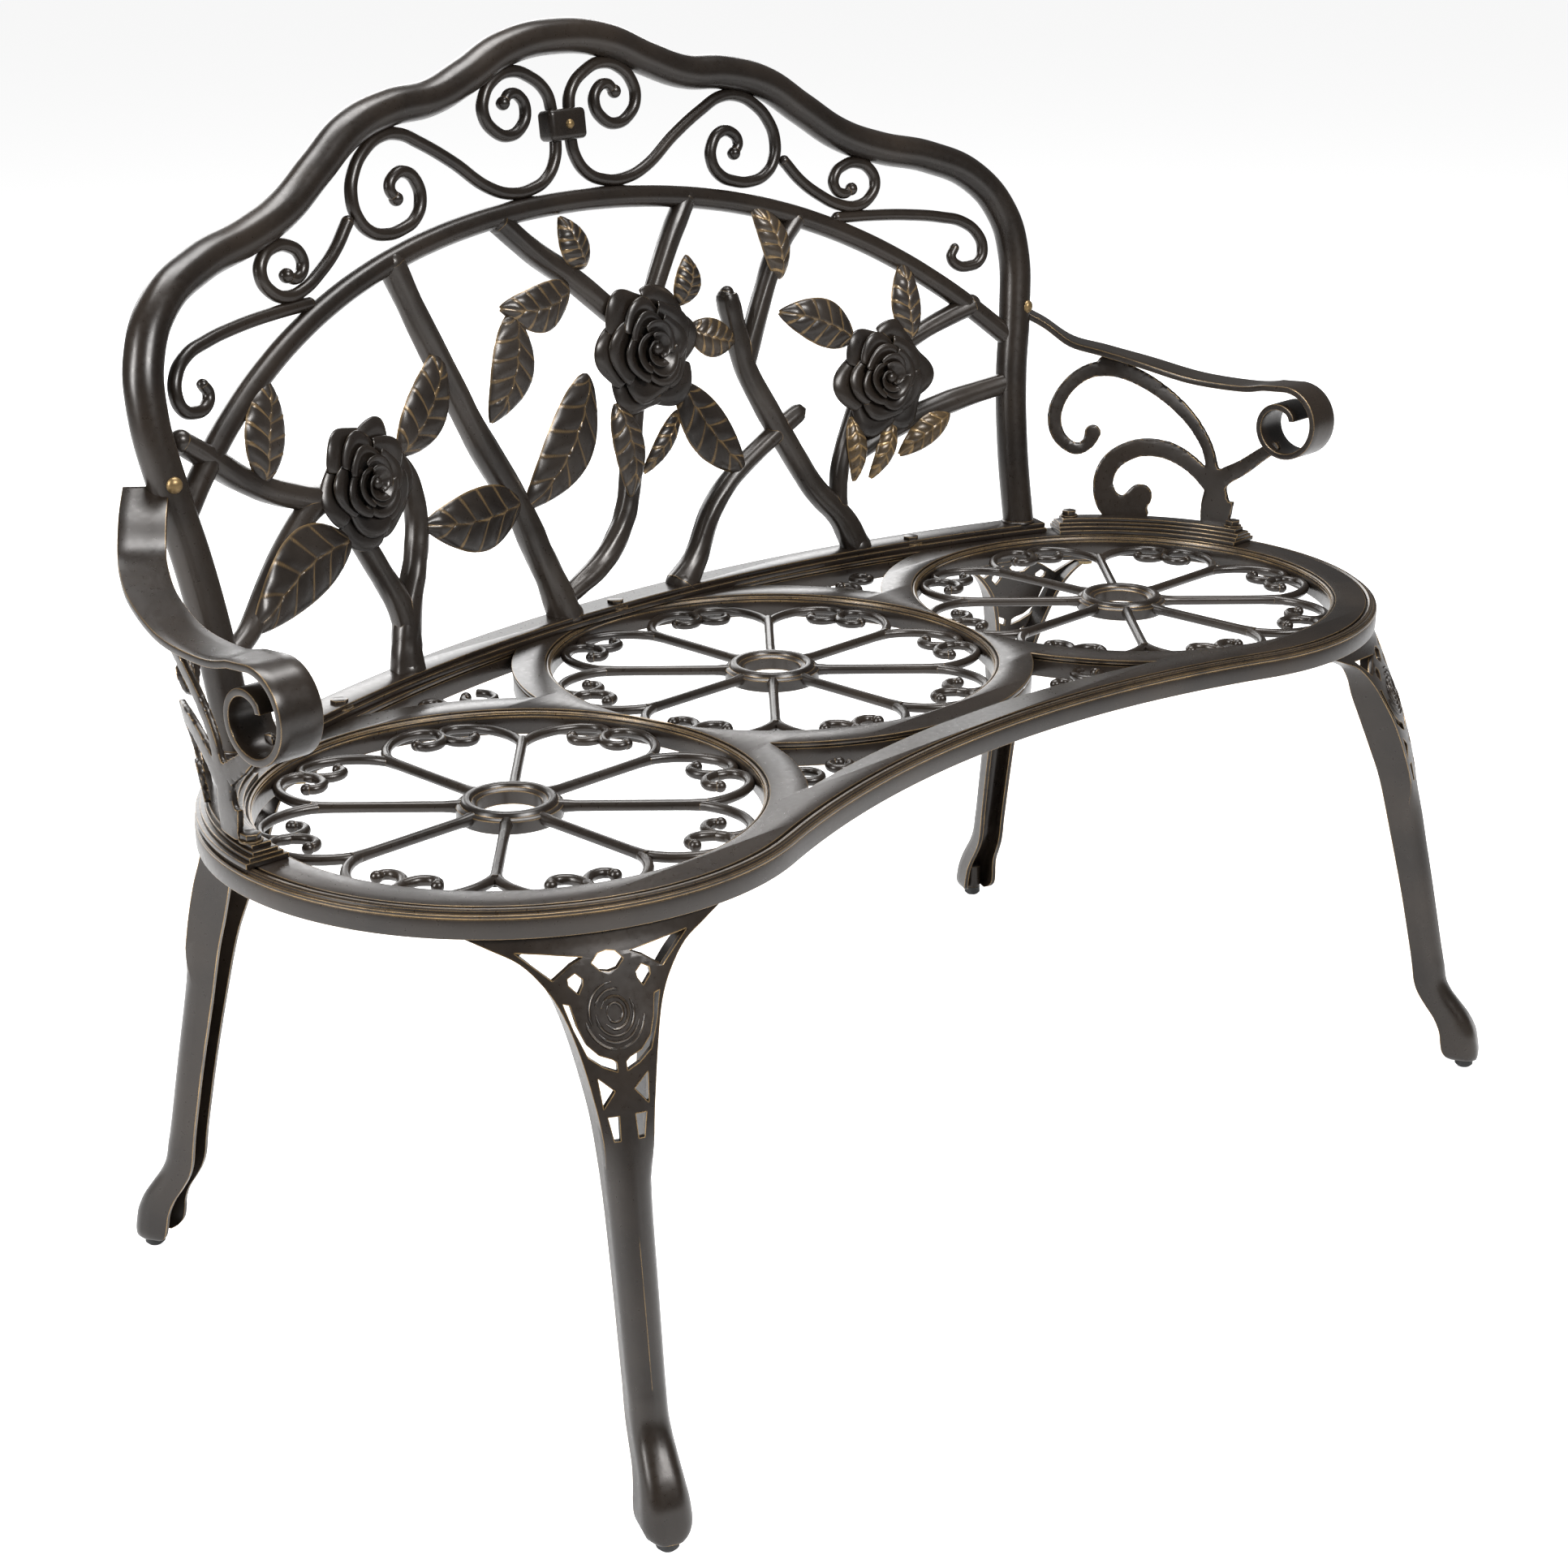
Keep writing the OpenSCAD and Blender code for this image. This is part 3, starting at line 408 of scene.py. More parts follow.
def bronze(name, width, strength, dark, light, gilt=None):
    """Antique bronze coat with rubbed gold edges; gilt names an attribute that adds gold."""
    material = bpy.data.materials.new(name)
    material.use_nodes = True
    nodes = material.node_tree.nodes
    links = material.node_tree.links
    shader = nodes["Principled BSDF"]
    shader.inputs["Specular IOR Level"].default_value = 0.55
    shader.inputs["Coat Weight"].default_value = 0.12
    shader.inputs["Coat Roughness"].default_value = 0.28
    skin = nodes.new("ShaderNodeGroup")
    skin.node_tree = SKIN
    skin.inputs["Dark"].default_value = (*dark, 1)
    skin.inputs["Light"].default_value = (*light, 1)
    rubbed = nodes.new("ShaderNodeGroup")
    rubbed.node_tree = RUBBED
    rubbed.inputs["Width"].default_value = width
    rubbed.inputs["Strength"].default_value = strength
    if gilt:
        attribute = nodes.new("ShaderNodeAttribute")
        attribute.attribute_name = gilt
        links.new(attribute.outputs["Fac"], rubbed.inputs["Gold"])
    colour = nodes.new("ShaderNodeMix")
    colour.data_type = "RGBA"
    colour.inputs["B"].default_value = (0.56, 0.36, 0.15, 1)
    links.new(rubbed.outputs["Mask"], colour.inputs["Factor"])
    links.new(skin.outputs["Color"], colour.inputs["A"])
    links.new(colour.outputs["Result"], shader.inputs["Base Color"])
    metal = nodes.new("ShaderNodeMapRange")
    metal.inputs["To Min"].default_value = 0.25
    metal.inputs["To Max"].default_value = 0.75
    links.new(rubbed.outputs["Mask"], metal.inputs["Value"])
    links.new(metal.outputs["Result"], shader.inputs["Metallic"])
    links.new(skin.outputs["Roughness"], shader.inputs["Roughness"])
    bump = nodes.new("ShaderNodeBump")
    bump.inputs["Strength"].default_value = 0.05
    bump.inputs["Distance"].default_value = 0.0002
    links.new(skin.outputs["Height"], bump.inputs["Height"])
    links.new(bump.outputs["Normal"], shader.inputs["Normal"])
    return material


def plain_finish(name, dark, light, metallic, roughness, scale):
    """A finish for fixings and plastic: two tones, varied gloss and a fine grain."""
    material = bpy.data.materials.new(name)
    material.use_nodes = True
    nodes = material.node_tree.nodes
    links = material.node_tree.links
    shader = nodes["Principled BSDF"]
    shader.inputs["Metallic"].default_value = metallic
    coordinates = nodes.new("ShaderNodeTexCoord")
    noise = nodes.new("ShaderNodeTexNoise")
    noise.inputs["Scale"].default_value = scale
    noise.inputs["Detail"].default_value = 5
    links.new(coordinates.outputs["Object"], noise.inputs["Vector"])
    colour = nodes.new("ShaderNodeMix")
    colour.data_type = "RGBA"
    colour.inputs["A"].default_value = (*dark, 1)
    colour.inputs["B"].default_value = (*light, 1)
    links.new(noise.outputs["Fac"], colour.inputs["Factor"])
    links.new(colour.outputs["Result"], shader.inputs["Base Color"])
    rough = nodes.new("ShaderNodeMapRange")
    rough.inputs["To Min"].default_value = roughness - 0.08
    rough.inputs["To Max"].default_value = roughness + 0.10
    links.new(noise.outputs["Fac"], rough.inputs["Value"])
    links.new(rough.outputs["Result"], shader.inputs["Roughness"])
    bump = nodes.new("ShaderNodeBump")
    bump.inputs["Strength"].default_value = 0.15
    bump.inputs["Distance"].default_value = 0.0003
    links.new(noise.outputs["Fac"], bump.inputs["Height"])
    links.new(bump.outputs["Normal"], shader.inputs["Normal"])
    return material


COAT_DARK = (0.011, 0.0075, 0.0052)
COAT_LIGHT = (0.024, 0.017, 0.012)
BRONZE = bronze("antique_bronze_coat", 0.0012, 1.0, COAT_DARK, COAT_LIGHT)
BRONZE_ROD = bronze("antique_bronze_rods", 0.0006, 0.5, COAT_DARK, COAT_LIGHT)
BRONZE_LEAF = bronze("antique_bronze_leaves", 0.0007, 0.8, COAT_DARK, (0.036, 0.028, 0.022), "gilt")
BRONZE_ROSE = bronze("antique_bronze_roses", 0.0006, 0.28, (0.013, 0.0105, 0.009), COAT_LIGHT)
ZINC = plain_finish("yellow_zinc", (0.20, 0.15, 0.08), (0.42, 0.33, 0.18), 0.85, 0.38, 300)
GOLD = plain_finish("rubbed_gold", (0.10, 0.065, 0.032), (0.34, 0.23, 0.10), 0.7, 0.36, 200)
PLASTIC = plain_finish("black_plastic", (0.012, 0.012, 0.012), (0.03, 0.03, 0.03), 0.0, 0.5, 350)


# ---------- the curved plane of the back ----------


def back_y(x, z):
    bow = BACK_FOOT - BACK_R + math.sqrt(BACK_R ** 2 - x * x)
    return LOBE_Y + bow + (LEAN + END_LEAN * (x / BACK_HALF) ** 2) * (z - SEAT_TOP)


def on_back(x, z, ahead=0.0):
    return Vector((x, back_y(x, z) - ahead, z))


def back_frame(x, z, ahead=0.0):
    """Local x along the back, local y up it, local z out of its front."""
    twist = math.atan(2 * END_LEAN * x * (z - SEAT_TOP) / BACK_HALF ** 2)
    turn = Matrix.Rotation(twist - math.asin(x / BACK_R), 4, "Z")
    tip = Matrix.Rotation(-math.atan(LEAN + END_LEAN * (x / BACK_HALF) ** 2), 4, "X")
    face = Matrix.Rotation(math.pi / 2, 4, "X")
    return Matrix.Translation(on_back(x, z, ahead)) @ turn @ tip @ face


def back_line(points, side=1):
    return [on_back(side * p[0], p[1]) for p in points]


# ---------- seat ----------

FRONT_ARC = (LOBE_X ** 2 + FRONT_REACH ** 2 - LOBE_R ** 2) / (2 * (LOBE_R - FRONT_REACH))
FRONT_CENTRE = -FRONT_REACH - FRONT_ARC
REAR_ARC = (LOBE_X ** 2 + REAR_REACH ** 2 - LOBE_R ** 2) / (2 * (REAR_REACH - LOBE_R))
REAR_CENTRE = REAR_REACH - REAR_ARC


def shifted(points):
    return [[p[0], p[1] + LOBE_Y] for p in points]


def seat_edge(grow):
    """The kidney outline: two lobes, a hollow front arc and a full rear arc."""
    front = math.atan2(FRONT_CENTRE, -LOBE_X)
    rear = math.atan2(-REAR_CENTRE, LOBE_X)
    right = arc((LOBE_X, 0), LOBE_R + grow, front, rear, 90)
    back = arc((0, REAR_CENTRE), REAR_ARC + grow, rear, math.pi - rear, 60)
    left = arc((-LOBE_X, 0), LOBE_R + grow, math.pi - rear, 3 * math.pi + (-math.pi - front) - math.pi, 90)
    rise = math.atan2(-FRONT_CENTRE, LOBE_X)
    nose = arc((0, FRONT_CENTRE), FRONT_ARC - grow, math.pi - rise, rise, 60)
    return shifted(right + back[1:-1] + left + nose[1:-1])


def crossing(a, ra, b, rb, upper):
    """Where two circles cross; upper picks the one further from the front."""
    gap = math.dist(a, b)
    along = (ra * ra - rb * rb + gap * gap) / (2 * gap)
    off = math.sqrt(max(ra * ra - along * along, 0))
    ux = (b[0] - a[0]) / gap
    uy = (b[1] - a[1]) / gap
    spots = [
        (a[0] + along * ux - s * off * uy, a[1] + along * uy + s * off * ux)
        for s in (1, -1)
    ]
    return max(spots, key=lambda p: p[1]) if upper else min(spots, key=lambda p: p[1])


def swept(centre, start, end, steps=24):
    """Short arc from one point to another around a centre."""
    a = math.atan2(start[1] - centre[1], start[0] - centre[0])
    b = math.atan2(end[1] - centre[1], end[0] - centre[0])
    while b - a > math.pi:
        b -= 2 * math.pi
    while a - b > math.pi:
        b += 2 * math.pi
    return arc(centre, math.dist(centre, start), a, b, steps)


def spandrel(side, rear, grow):
    """One three-cornered opening between the grilles; grow widens the metal around it."""
    lobe = (LOBE_X, 0)
    centre = (0, MIDDLE_Y - LOBE_Y)
    r = OPENING_R + WEB + grow
    if rear:
        edge = (0, REAR_CENTRE)
        edge_r = REAR_ARC - WEB - 3 - grow
    else:
        edge = (0, FRONT_CENTRE)
        edge_r = FRONT_ARC + WEB + 3 + grow
    inner = crossing(lobe, r, centre, r, rear)
    far = crossing(lobe, r, edge, edge_r, True)
    near = crossing(centre, r, edge, edge_r, True)
    if not rear:
        near = max(
            (crossing(centre, r, edge, edge_r, u) for u in (True, False)), key=lambda p: p[0])
    else:
        spot = crossing(centre, r, edge, edge_r, True)
        near = (abs(spot[0]), spot[1])
    loop = swept(lobe, inner, far) + swept(edge, far, near)[1:] + swept(centre, near, inner)[1:-1]
    return shifted([[side * p[0], p[1]] for p in loop])


def seat_holes(hole_r, grow):
    holes = [
        circle((-LOBE_X, LOBE_Y), hole_r),
        circle((0, MIDDLE_Y), hole_r),
        circle((LOBE_X, LOBE_Y), hole_r),
    ]
    holes += [spandrel(side, rear, grow) for side in (-1, 1) for rear in (False, True)]
    return holes


def build_seat():
    wall = 2.6
    layers = [
        plate([seat_edge(-8.5)] + seat_holes(OPENING_R + 2.2, 0.0), SEAT_TOP - 3, SEAT_TOP, 0.5),
        plate([seat_edge(-0.2)] + seat_holes(OPENING_R - 1.3, -2.2), SEAT_TOP - 5.4, SEAT_TOP - 2.6, 0.6),
        plate([seat_edge(0), seat_edge(-5)], SEAT_UNDER, SEAT_TOP - 4.6, 0.6),
    ]
    for centre in ((-LOBE_X, LOBE_Y), (0, MIDDLE_Y), (LOBE_X, LOBE_Y)):
        layers.append(plate(
            [circle(centre, OPENING_R + 1.2), circle(centre, OPENING_R + 1.2 - wall)],
            SEAT_UNDER, SEAT_TOP - 4.6, 0.4))
        layers.append(ring((centre[0], centre[1], SEAT_TOP - 2.6), OPENING_R + 0.6, 1.5, 128, 8))
    for side in (-1, 1):
        for rear in (False, True):
            layers.append(plate(
                [spandrel(side, rear, -3), spandrel(side, rear, -0.8)],
                SEAT_UNDER, SEAT_TOP - 4.6, 0.3))
    bead = rod([(p[0], p[1], SEAT_TOP - 2.4) for p in seat_edge(-5)[::3]], 2.5, closed=True, sides=3, steps=4)
    layers.append(bead)
    seat = join(layers, "seat_casting")
    finish_piece(seat, "seat_casting", BRONZE, ["seat_frame"], 30)


# ---------- grilles ----------

FORK_R = 122
FORK_STEPS = [
    (0, 0), (0.25, 0.045), (0.58, 0.2), (0.86, 0.42), (1, 0.64), (0.95, 0.84),
    (0.72, 0.945), (0.42, 0.91), (0.22, 0.76), (0.27, 0.6), (0.42, 0.56),
]
GRILLES = {"left": (-LOBE_X, LOBE_Y), "middle": (0, MIDDLE_Y), "right": (LOBE_X, LOBE_Y)}


def around(profile, steps=72):
    """A ring turned from a closed profile of [radius, height]."""
    loop = profile + [profile[0]]
    count = len(loop) - 1

    def place(u, v):
        r, z = loop[round(u * count)]
        turn = 2 * math.pi * v
        return (r * math.cos(turn), r * math.sin(turn), z)

    piece = grid("turned", count, steps, place)
    weld(piece)
    return piece


def build_grilles():
    hub_low = GRILLE_TOP - 13
    hub_profile = [
        [21, hub_low], [HUB_R - 0.8, hub_low], [HUB_R, hub_low + 1], [HUB_R, GRILLE_TOP - 4.5],
        [HUB_R - 1.2, GRILLE_TOP - 3.4], [HUB_R - 3.2, GRILLE_TOP - 3.0], [HUB_R - 4.2, GRILLE_TOP - 0.8],
        [HUB_R - 5.2, GRILLE_TOP], [26, GRILLE_TOP], [25, GRILLE_TOP - 0.6], [24.3, GRILLE_TOP - 2.4],
        [22.2, GRILLE_TOP - 3], [21, GRILLE_TOP - 4],
    ]
    hub = around(hub_profile)
    spoke = rod([(31, 0, SPOKE_Z), (42, 0, SPOKE_Z), (80, 0, SPOKE_Z), (112, 0, SPOKE_Z), (126, 0, SPOKE_Z)],
                3.7, [1.25, 1, 0.98, 1, 1.15])
    wall_r = OPENING_R - 1.5 - 3.6
    fork = []
    for out, turn in FORK_STEPS:
        r = FORK_R + out * (wall_r - FORK_R)
        a = turn * math.pi / 8 * 163 / OPENING_R
        fork.append((r * math.cos(a), r * math.sin(a) + 0.8 + 2.6 * min(out * 3, 1), SPOKE_Z))
    curl = rod(fork, 3.5, [1, 1, 1, 1, 1, 1, 1, 1, 1, 0.98, 0.96], sides=4, steps=8)
    knob = ball(fork[-1], 4.1)
    curl = join([curl, knob], "curl")
    for name, centre in GRILLES.items():
        place = Matrix.Translation((centre[0], centre[1], 0))
        finish_piece(copy_of(hub, place), "hub_ring_" + name, BRONZE, ["hub_" + name], 40)
        spokes = []
        curls = []
        for k in range(8):
            turn = place @ Matrix.Rotation(math.pi / 4 * k, 4, "Z")
            spokes.append(copy_of(spoke, turn))
            curls.append(copy_of(curl, turn))
            curls.append(copy_of(curl, turn @ Matrix.Scale(-1, 4, (0, 1, 0))))
        finish_piece(join(spokes, "s"), "spoke_rods_" + name, BRONZE_ROD, ["spokes_" + name], 50)
        finish_piece(join(curls, "c"), "forked_curls_" + name, BRONZE_ROD, ["curls_" + name], 50)
    for piece in (hub, spoke, curl):
        bpy.data.objects.remove(piece)


def c_scroll(x, y, r, start, side):
    """A small C scroll lying flat in a three-cornered opening."""
    points = []
    for k in range(11):
        a = math.radians(start + 30 * k)
        shrink = r * (1 - 0.035 * k)
        points.append((side * (x + shrink * math.cos(a)), LOBE_Y + y + shrink * math.sin(a), SPOKE_Z))
    scroll = rod(points, 3.1, sides=3, steps=5)
    return join([scroll, ball(points[-1], 4.1)], "scroll")


def build_spandrel_scrolls():
    web = -FRONT_REACH + WEB + 3
    half = LOBE_X / 2
    front = []
    rear = []
    for side in (-1, 1):
        front.append(c_scroll(half - 10, web + 11, 12, 60, side))
        front.append(c_scroll(half - 41, web + 11, 8, 200, side))
        rear.append(c_scroll(half + 34, REAR_REACH - 84, 14, 130, side))
        rear.append(c_scroll(half + 65, REAR_REACH - 74, 9, 20, side))
    finish_piece(join(front, "f"), "front_corner_scrolls", BRONZE_ROD,
                 ["front_spandrel_scrolls"], 50)
    finish_piece(join(rear, "r"), "rear_corner_scrolls", BRONZE_ROD,
                 ["rear_spandrel_scrolls"], 50)


# ---------- back ----------

TUBE_HALF = [
    (404, 372), (407, 440), (414, 500), (424, 550), (430, 600), (424, 632), (401, 662),
    (360, 681), (312, 692), (275, 705), (240, 727), (205, 749), (165, 760), (125, 763.5),
    (90, 775), (50, 791), (0, 797),
]
CREST_CURL = [
    (8, 742), (12, 758), (28, 771), (45, 775.5), (62, 771), (73, 760), (75, 747), (67, 736),
    (53, 731), (40, 736), (34, 747), (38, 757), (48, 760), (55, 754),
]
SCROLL_ROD = [
    (7, 727), (10, 711), (20, 698), (36, 691.5), (56, 690.5), (78, 697), (110, 718), (140, 734.5),
    (158, 742), (176, 742), (193, 734), (205, 721), (210, 706), (207, 691), (197, 680.5),
    (182, 676.5), (166, 678), (152, 684), (145, 695), (147, 708), (156, 716), (167, 715),
    (173, 707), (168, 699),
]
SMALL_SCROLL = [
    (217, 689), (232, 672.5), (250, 659.5), (267, 651), (284, 648.5), (298, 654), (305, 665),
    (301, 676), (289, 682), (276, 681), (266, 674), (265, 664.5), (273, 659), (281, 662),
]
HOOK_ROD = [
    (264, 641), (300, 639.7), (335, 637), (366, 632.5), (386, 627), (398, 617), (401.5, 605),
    (397, 595), (387, 591.5), (376, 593), (371, 600), (375, 607),
]
ARCH_END = BACK_HALF - 8
ARCH_RISE = 149
ARCH_SHOULDER = 0.32
ARCH_TOP = 679


def band(front, rear, half, low, high, bevel):
    """A flat strip that follows the foot of the back."""
    centre = (0, LOBE_Y + BACK_FOOT - BACK_R)
    a = math.asin(half / BACK_R)
    outer = arc(centre, BACK_R + rear, math.pi / 2 - a, math.pi / 2 + a, 60)
    inner = arc(centre, BACK_R - front, math.pi / 2 + a, math.pi / 2 - a, 60)
    return plate([outer + inner], low, high, bevel)


def build_back_frame():
    half = BACK_HALF - 16 + TUBE_R
    rail = [
        band(RAIL_WIDTH / 2 + 3, RAIL_WIDTH / 2, half, SEAT_TOP, SEAT_TOP + 4.2, 0.7),
        band(RAIL_WIDTH / 2, RAIL_WIDTH / 2 - 0.5, half, SEAT_TOP + 4, RAIL_TOP, 0.8),
    ]
    for x in (-0.933 * LOBE_X, 0, 0.933 * LOBE_X):
        clear()
        bpy.ops.mesh.primitive_cylinder_add(
            vertices=32, radius=9, depth=5.4, location=(x, back_y(x, SEAT_TOP) - 6, SEAT_TOP + 2.7))
        bpy.ops.object.transform_apply(location=True, rotation=False, scale=False)
        lug = bpy.context.object
        apply_modifier(lug, "BEVEL", width=0.7, segments=2, limit_method="ANGLE")
        rail.append(lug)
    finish_piece(join(rail, "rail"), "back_rail_casting", BRONZE, ["back_rail"], 30)
    right = back_line(TUBE_HALF)
    left = [Vector((-p.x, p.y, p.z)) for p in right[:-1]]
    tube = rod(right + left[::-1], TUBE_R, sides=7, steps=10)
    feet = [ring((side * 404, back_y(404, RAIL_TOP), RAIL_TOP + 0.6), 12.6, 1.6, 48, 8) for side in (-1, 1)]
    finish_piece(join([tube] + feet, "tube"), "back_frame_tube", BRONZE_ROD, ["back_tube"], 60)
    points = []
    for k in range(-12, 13):
        x = ARCH_END * k / 12
        share = (x / ARCH_END) ** 2
        points.append(on_back(x, ARCH_TOP - ARCH_RISE * ((1 - ARCH_SHOULDER) * share + ARCH_SHOULDER * share ** 2)))
    arch = rod(points, ARCH_R, sides=5, steps=6)
    finish_piece(arch, "back_arch_rail", BRONZE_ROD, ["back_arch"], 60)


def scroll_piece(points, side, name, node, end="ball"):
    count = len(points)
    swell = [1.0] * count
    for k in range(1, 5):
        swell[-k] = 0.82 + 0.04 * k
    path = back_line(points, side)
    parts = [rod(path, ROD_R, swell, sides=4, steps=8)]
    if end == "ball":
        parts.append(ball(path[-1], ROD_R * 1.12))
    else:
        parts.append(ball(path[-1], ROD_R * 0.86))
    parts.append(ball(path[0], ROD_R))
    finish_piece(join(parts, name), name, BRONZE_ROD, [node], 60)


def build_scrolls():
    for side, word in ((-1, "left"), (1, "right")):
        scroll_piece(CREST_CURL, side, "crest_curl_rod_" + word, "crest_curl_" + word)
        scroll_piece(SCROLL_ROD, side, "long_scroll_rod_" + word, "scroll_rod_" + word)
        scroll_piece(SMALL_SCROLL, side, "small_scroll_rod_" + word, "small_scroll_" + word)
        scroll_piece(HOOK_ROD, side, "hook_rod_piece_" + word, "hook_rod_" + word, "hook")


def build_collar():
    """A waisted clasp with a rounded middle and two squared cheeks."""
    clear()
    bpy.ops.mesh.primitive_cube_add(size=2)
    clasp = bpy.context.object
    for corner in clasp.data.vertices:
        corner.co = (corner.co.x * 18, corner.co.y * 11.5, 1 + corner.co.z * 8.4)
    apply_modifier(clasp, "BEVEL", width=4.2, segments=5, limit_method="ANGLE")
    weld(clasp, 0.001)
    move(clasp, back_frame(0, 734.5))
    finish_piece(clasp, "rod_collar", BRONZE, ["collar"], 40)
    clear()
    bpy.ops.mesh.primitive_uv_sphere_add(segments=24, ring_count=12, radius=3.6)
    rivet = bpy.context.object
    for corner in rivet.data.vertices:
        corner.co.z = 9.4 + max(corner.co.z, 0) * 0.75
    weld(rivet)
    move(rivet, back_frame(0, 734.5))
    finish_piece(rivet, "collar_rivet_head", GOLD, ["collar_rivet"], 50)


# ---------- branches ----------

BRANCHES = {
    "left": [
        [(-218, 376, 13), (-216, 396, 11), (-208, 420, 10), (-195, 450, 9), (-188, 480, 9),
         (-192, 510, 8), (-206, 528, 7)],
        [(-214, 388, 9.5), (-213, 408, 10), (-219, 428, 9.5), (-230, 448, 9), (-248, 480, 9)],
        [(-405, 577, 8), (-380, 560, 9), (-355, 542, 9), (-325, 527, 9), (-285, 514, 9), (-262, 512, 9)],
        [(-396, 436, 7), (-372, 446, 8), (-340, 474, 9), (-300, 505, 9), (-272, 514, 9)],
        [(-181, 656, 10), (-160, 610, 10), (-135, 560, 10.5), (-112, 515, 11), (-87, 472, 11),
         (-70, 432, 11.5), (-56, 400, 12), (-47, 376, 14)],
    ],
    "middle": [
        [(-48, 388, 7), (-34, 394, 8), (-12, 404, 9), (8, 419, 9), (25, 442, 9), (35, 475, 9),
         (44, 520, 8), (55, 560, 8)],
        [(-72, 672, 9), (-40, 646, 9.5), (-8, 624, 9.5), (30, 594, 9)],
        [(115, 670, 9), (96, 642, 8.5), (72, 600, 8)],
    ],
    "right": [
        [(251, 376, 13), (240, 402, 11), (216, 430, 10), (196, 465, 10), (176, 500, 10),
         (160, 532, 9.5), (153, 562, 9.5), (148, 590, 9), (147.6, 594, 6)],
        [(160, 540, 8.5), (180, 582, 8.5), (202, 622, 8.5), (222, 644, 9)],
        [(74, 376, 13), (92, 396, 10), (110, 426, 9), (134, 450, 8.5), (166, 470, 8.5),
         (204, 491, 8), (208, 493, 5)],
        [(238, 414, 8), (242, 440, 8), (252, 465, 8), (270, 500, 8)],
        [(256, 452, 9), (300, 470, 10), (355, 484, 10), (410, 494, 9)],
        [(300, 528, 8), (340, 545, 8), (384, 560, 9)],
    ],
}


def bark_profile():
    """A rounded section with a few shallow flutes, for the twig-like branches."""
    points = []
    for k in range(24):
        a = 2 * math.pi * k / 24
        flute = 1 - 0.07 * (0.5 + 0.5 * math.cos(3 * a)) - 0.05 * (0.5 + 0.5 * math.cos(7 * a + 1))
        points.append((flute * math.cos(a), flute * math.sin(a), 0))
    profile = line(points, closed=True)
    profile.data.resolution_u = 1
    profile.name = "bark_section"
    return profile


def twig(points, profile, seed):
    random.seed(seed)
    path = smooth_line([list(p) for p in points], 3)
    piece = line([on_back(p[0], p[1]) for p in path])
    piece.data.bevel_mode = "OBJECT"
    piece.data.bevel_object = profile
    piece.data.use_fill_caps = True
    piece.data.resolution_u = 3
    tilt = random.uniform(0, 3)
    for p, knot in zip(path, piece.data.splines[0].bezier_points):
        tilt += random.uniform(0.05, 0.22)
        knot.tilt = tilt
        knot.radius = p[2] * 1.05 * random.uniform(0.965, 1.03)
    piece = to_mesh(piece)
    weld(piece, 0.001)
    return piece


def build_branches():
    profile = bark_profile()
    seed = 1
    for word, lines in BRANCHES.items():
        twigs = []
        for points in lines:
            twigs.append(twig(points, profile, seed))
            for x, z, r in (points[0], points[-1]):
                twigs.append(ball(on_back(x, z), r * 0.99))
            seed += 1
        finish_piece(join(twigs, "b"), "twig_branches_" + word, BRONZE_LEAF,
                     ["branches_" + word], 50)
    bpy.data.objects.remove(profile)


# ---------- roses ----------


def petal(inner, outer, half_turn, low, rise, droop, spiral, seed):
    """One petal: a cupped sheet with a wavy lip turned over, one side lapping its neighbour."""
    random.seed(seed)
    wave_a = random.uniform(0, 6)
    wave_b = random.uniform(0.035, 0.06)
    reach = outer * random.uniform(0.95, 1.05)

    def place(u, v):
        side = 2 * u - 1
        a = side * half_turn
        wavy = 1 + wave_b * math.sin(3.4 * side + wave_a) - 0.20 * abs(side) ** 2.6
        wavy += 0.035 * math.cos(5 * side) + spiral * side
        r = inner * (1 + spiral * side) + (reach * wavy - inner) * v ** 1.25
        z = low + rise * v ** 1.5
        z -= droop * max(v - 0.78, 0) ** 2 * 24
        z += 0.05 * outer * side + 0.035 * outer * math.sin(4.2 * side + wave_a) * v * v
        return (r * math.cos(a), r * math.sin(a), z)

    piece = grid("petal", 20, 12, place)
    apply_modifier(piece, "SOLIDIFY", thickness=1.7, offset=-1)
    apply_modifier(piece, "SUBSURF", levels=1, render_levels=1)
    return piece


ROSE_LAYERS = [
    # petals, inner and outer radius, half turn, height, lift, droop, spiral, first turn
    (6, 0.34, 1.03, 0.66, 0.06, 0.14, 0.10, 0.03, 0.0),
    (5, 0.26, 0.80, 0.80, 0.12, 0.20, 0.09, 0.05, 0.55),
    (4, 0.20, 0.60, 0.98, 0.19, 0.23, 0.07, 0.08, 0.2),
    (3, 0.15, 0.42, 1.25, 0.26, 0.23, 0.05, 0.12, 0.9),
    (2, 0.09, 0.26, 1.80, 0.32, 0.21, 0.03, 0.22, 0.3),
]


def build_rose(word, x, z, radius, seed):
    petals = []
    for count, inner, outer, half_turn, low, rise, droop, spiral, first in ROSE_LAYERS:
        for k in range(count):
            seed += 1
            piece = petal(inner * radius, outer * radius, half_turn, low * radius, rise * radius,
                          droop * radius, spiral, seed)
            move(piece, Matrix.Rotation(2 * math.pi * k / count + first, 4, "Z"))
            petals.append(piece)
    petals.append(ball((0, 0, 0.40 * radius), 0.10 * radius))
    clear()
    bpy.ops.mesh.primitive_cylinder_add(vertices=48, radius=0.62 * radius, depth=6, location=(0, 0, 0))
    backing = bpy.context.object
    apply_modifier(backing, "BEVEL", width=1.5, segments=2, limit_method="ANGLE")
    petals.append(backing)
    rose = join(petals, "rose")
    move(rose, back_frame(x, z, 5.5) @ Matrix.Scale(0.78, 4, (0, 0, 1)))
    finish_piece(rose, "petalled_rose_" + word, BRONZE_ROSE, ["rose_" + word], 60)


# ---------- leaves ----------

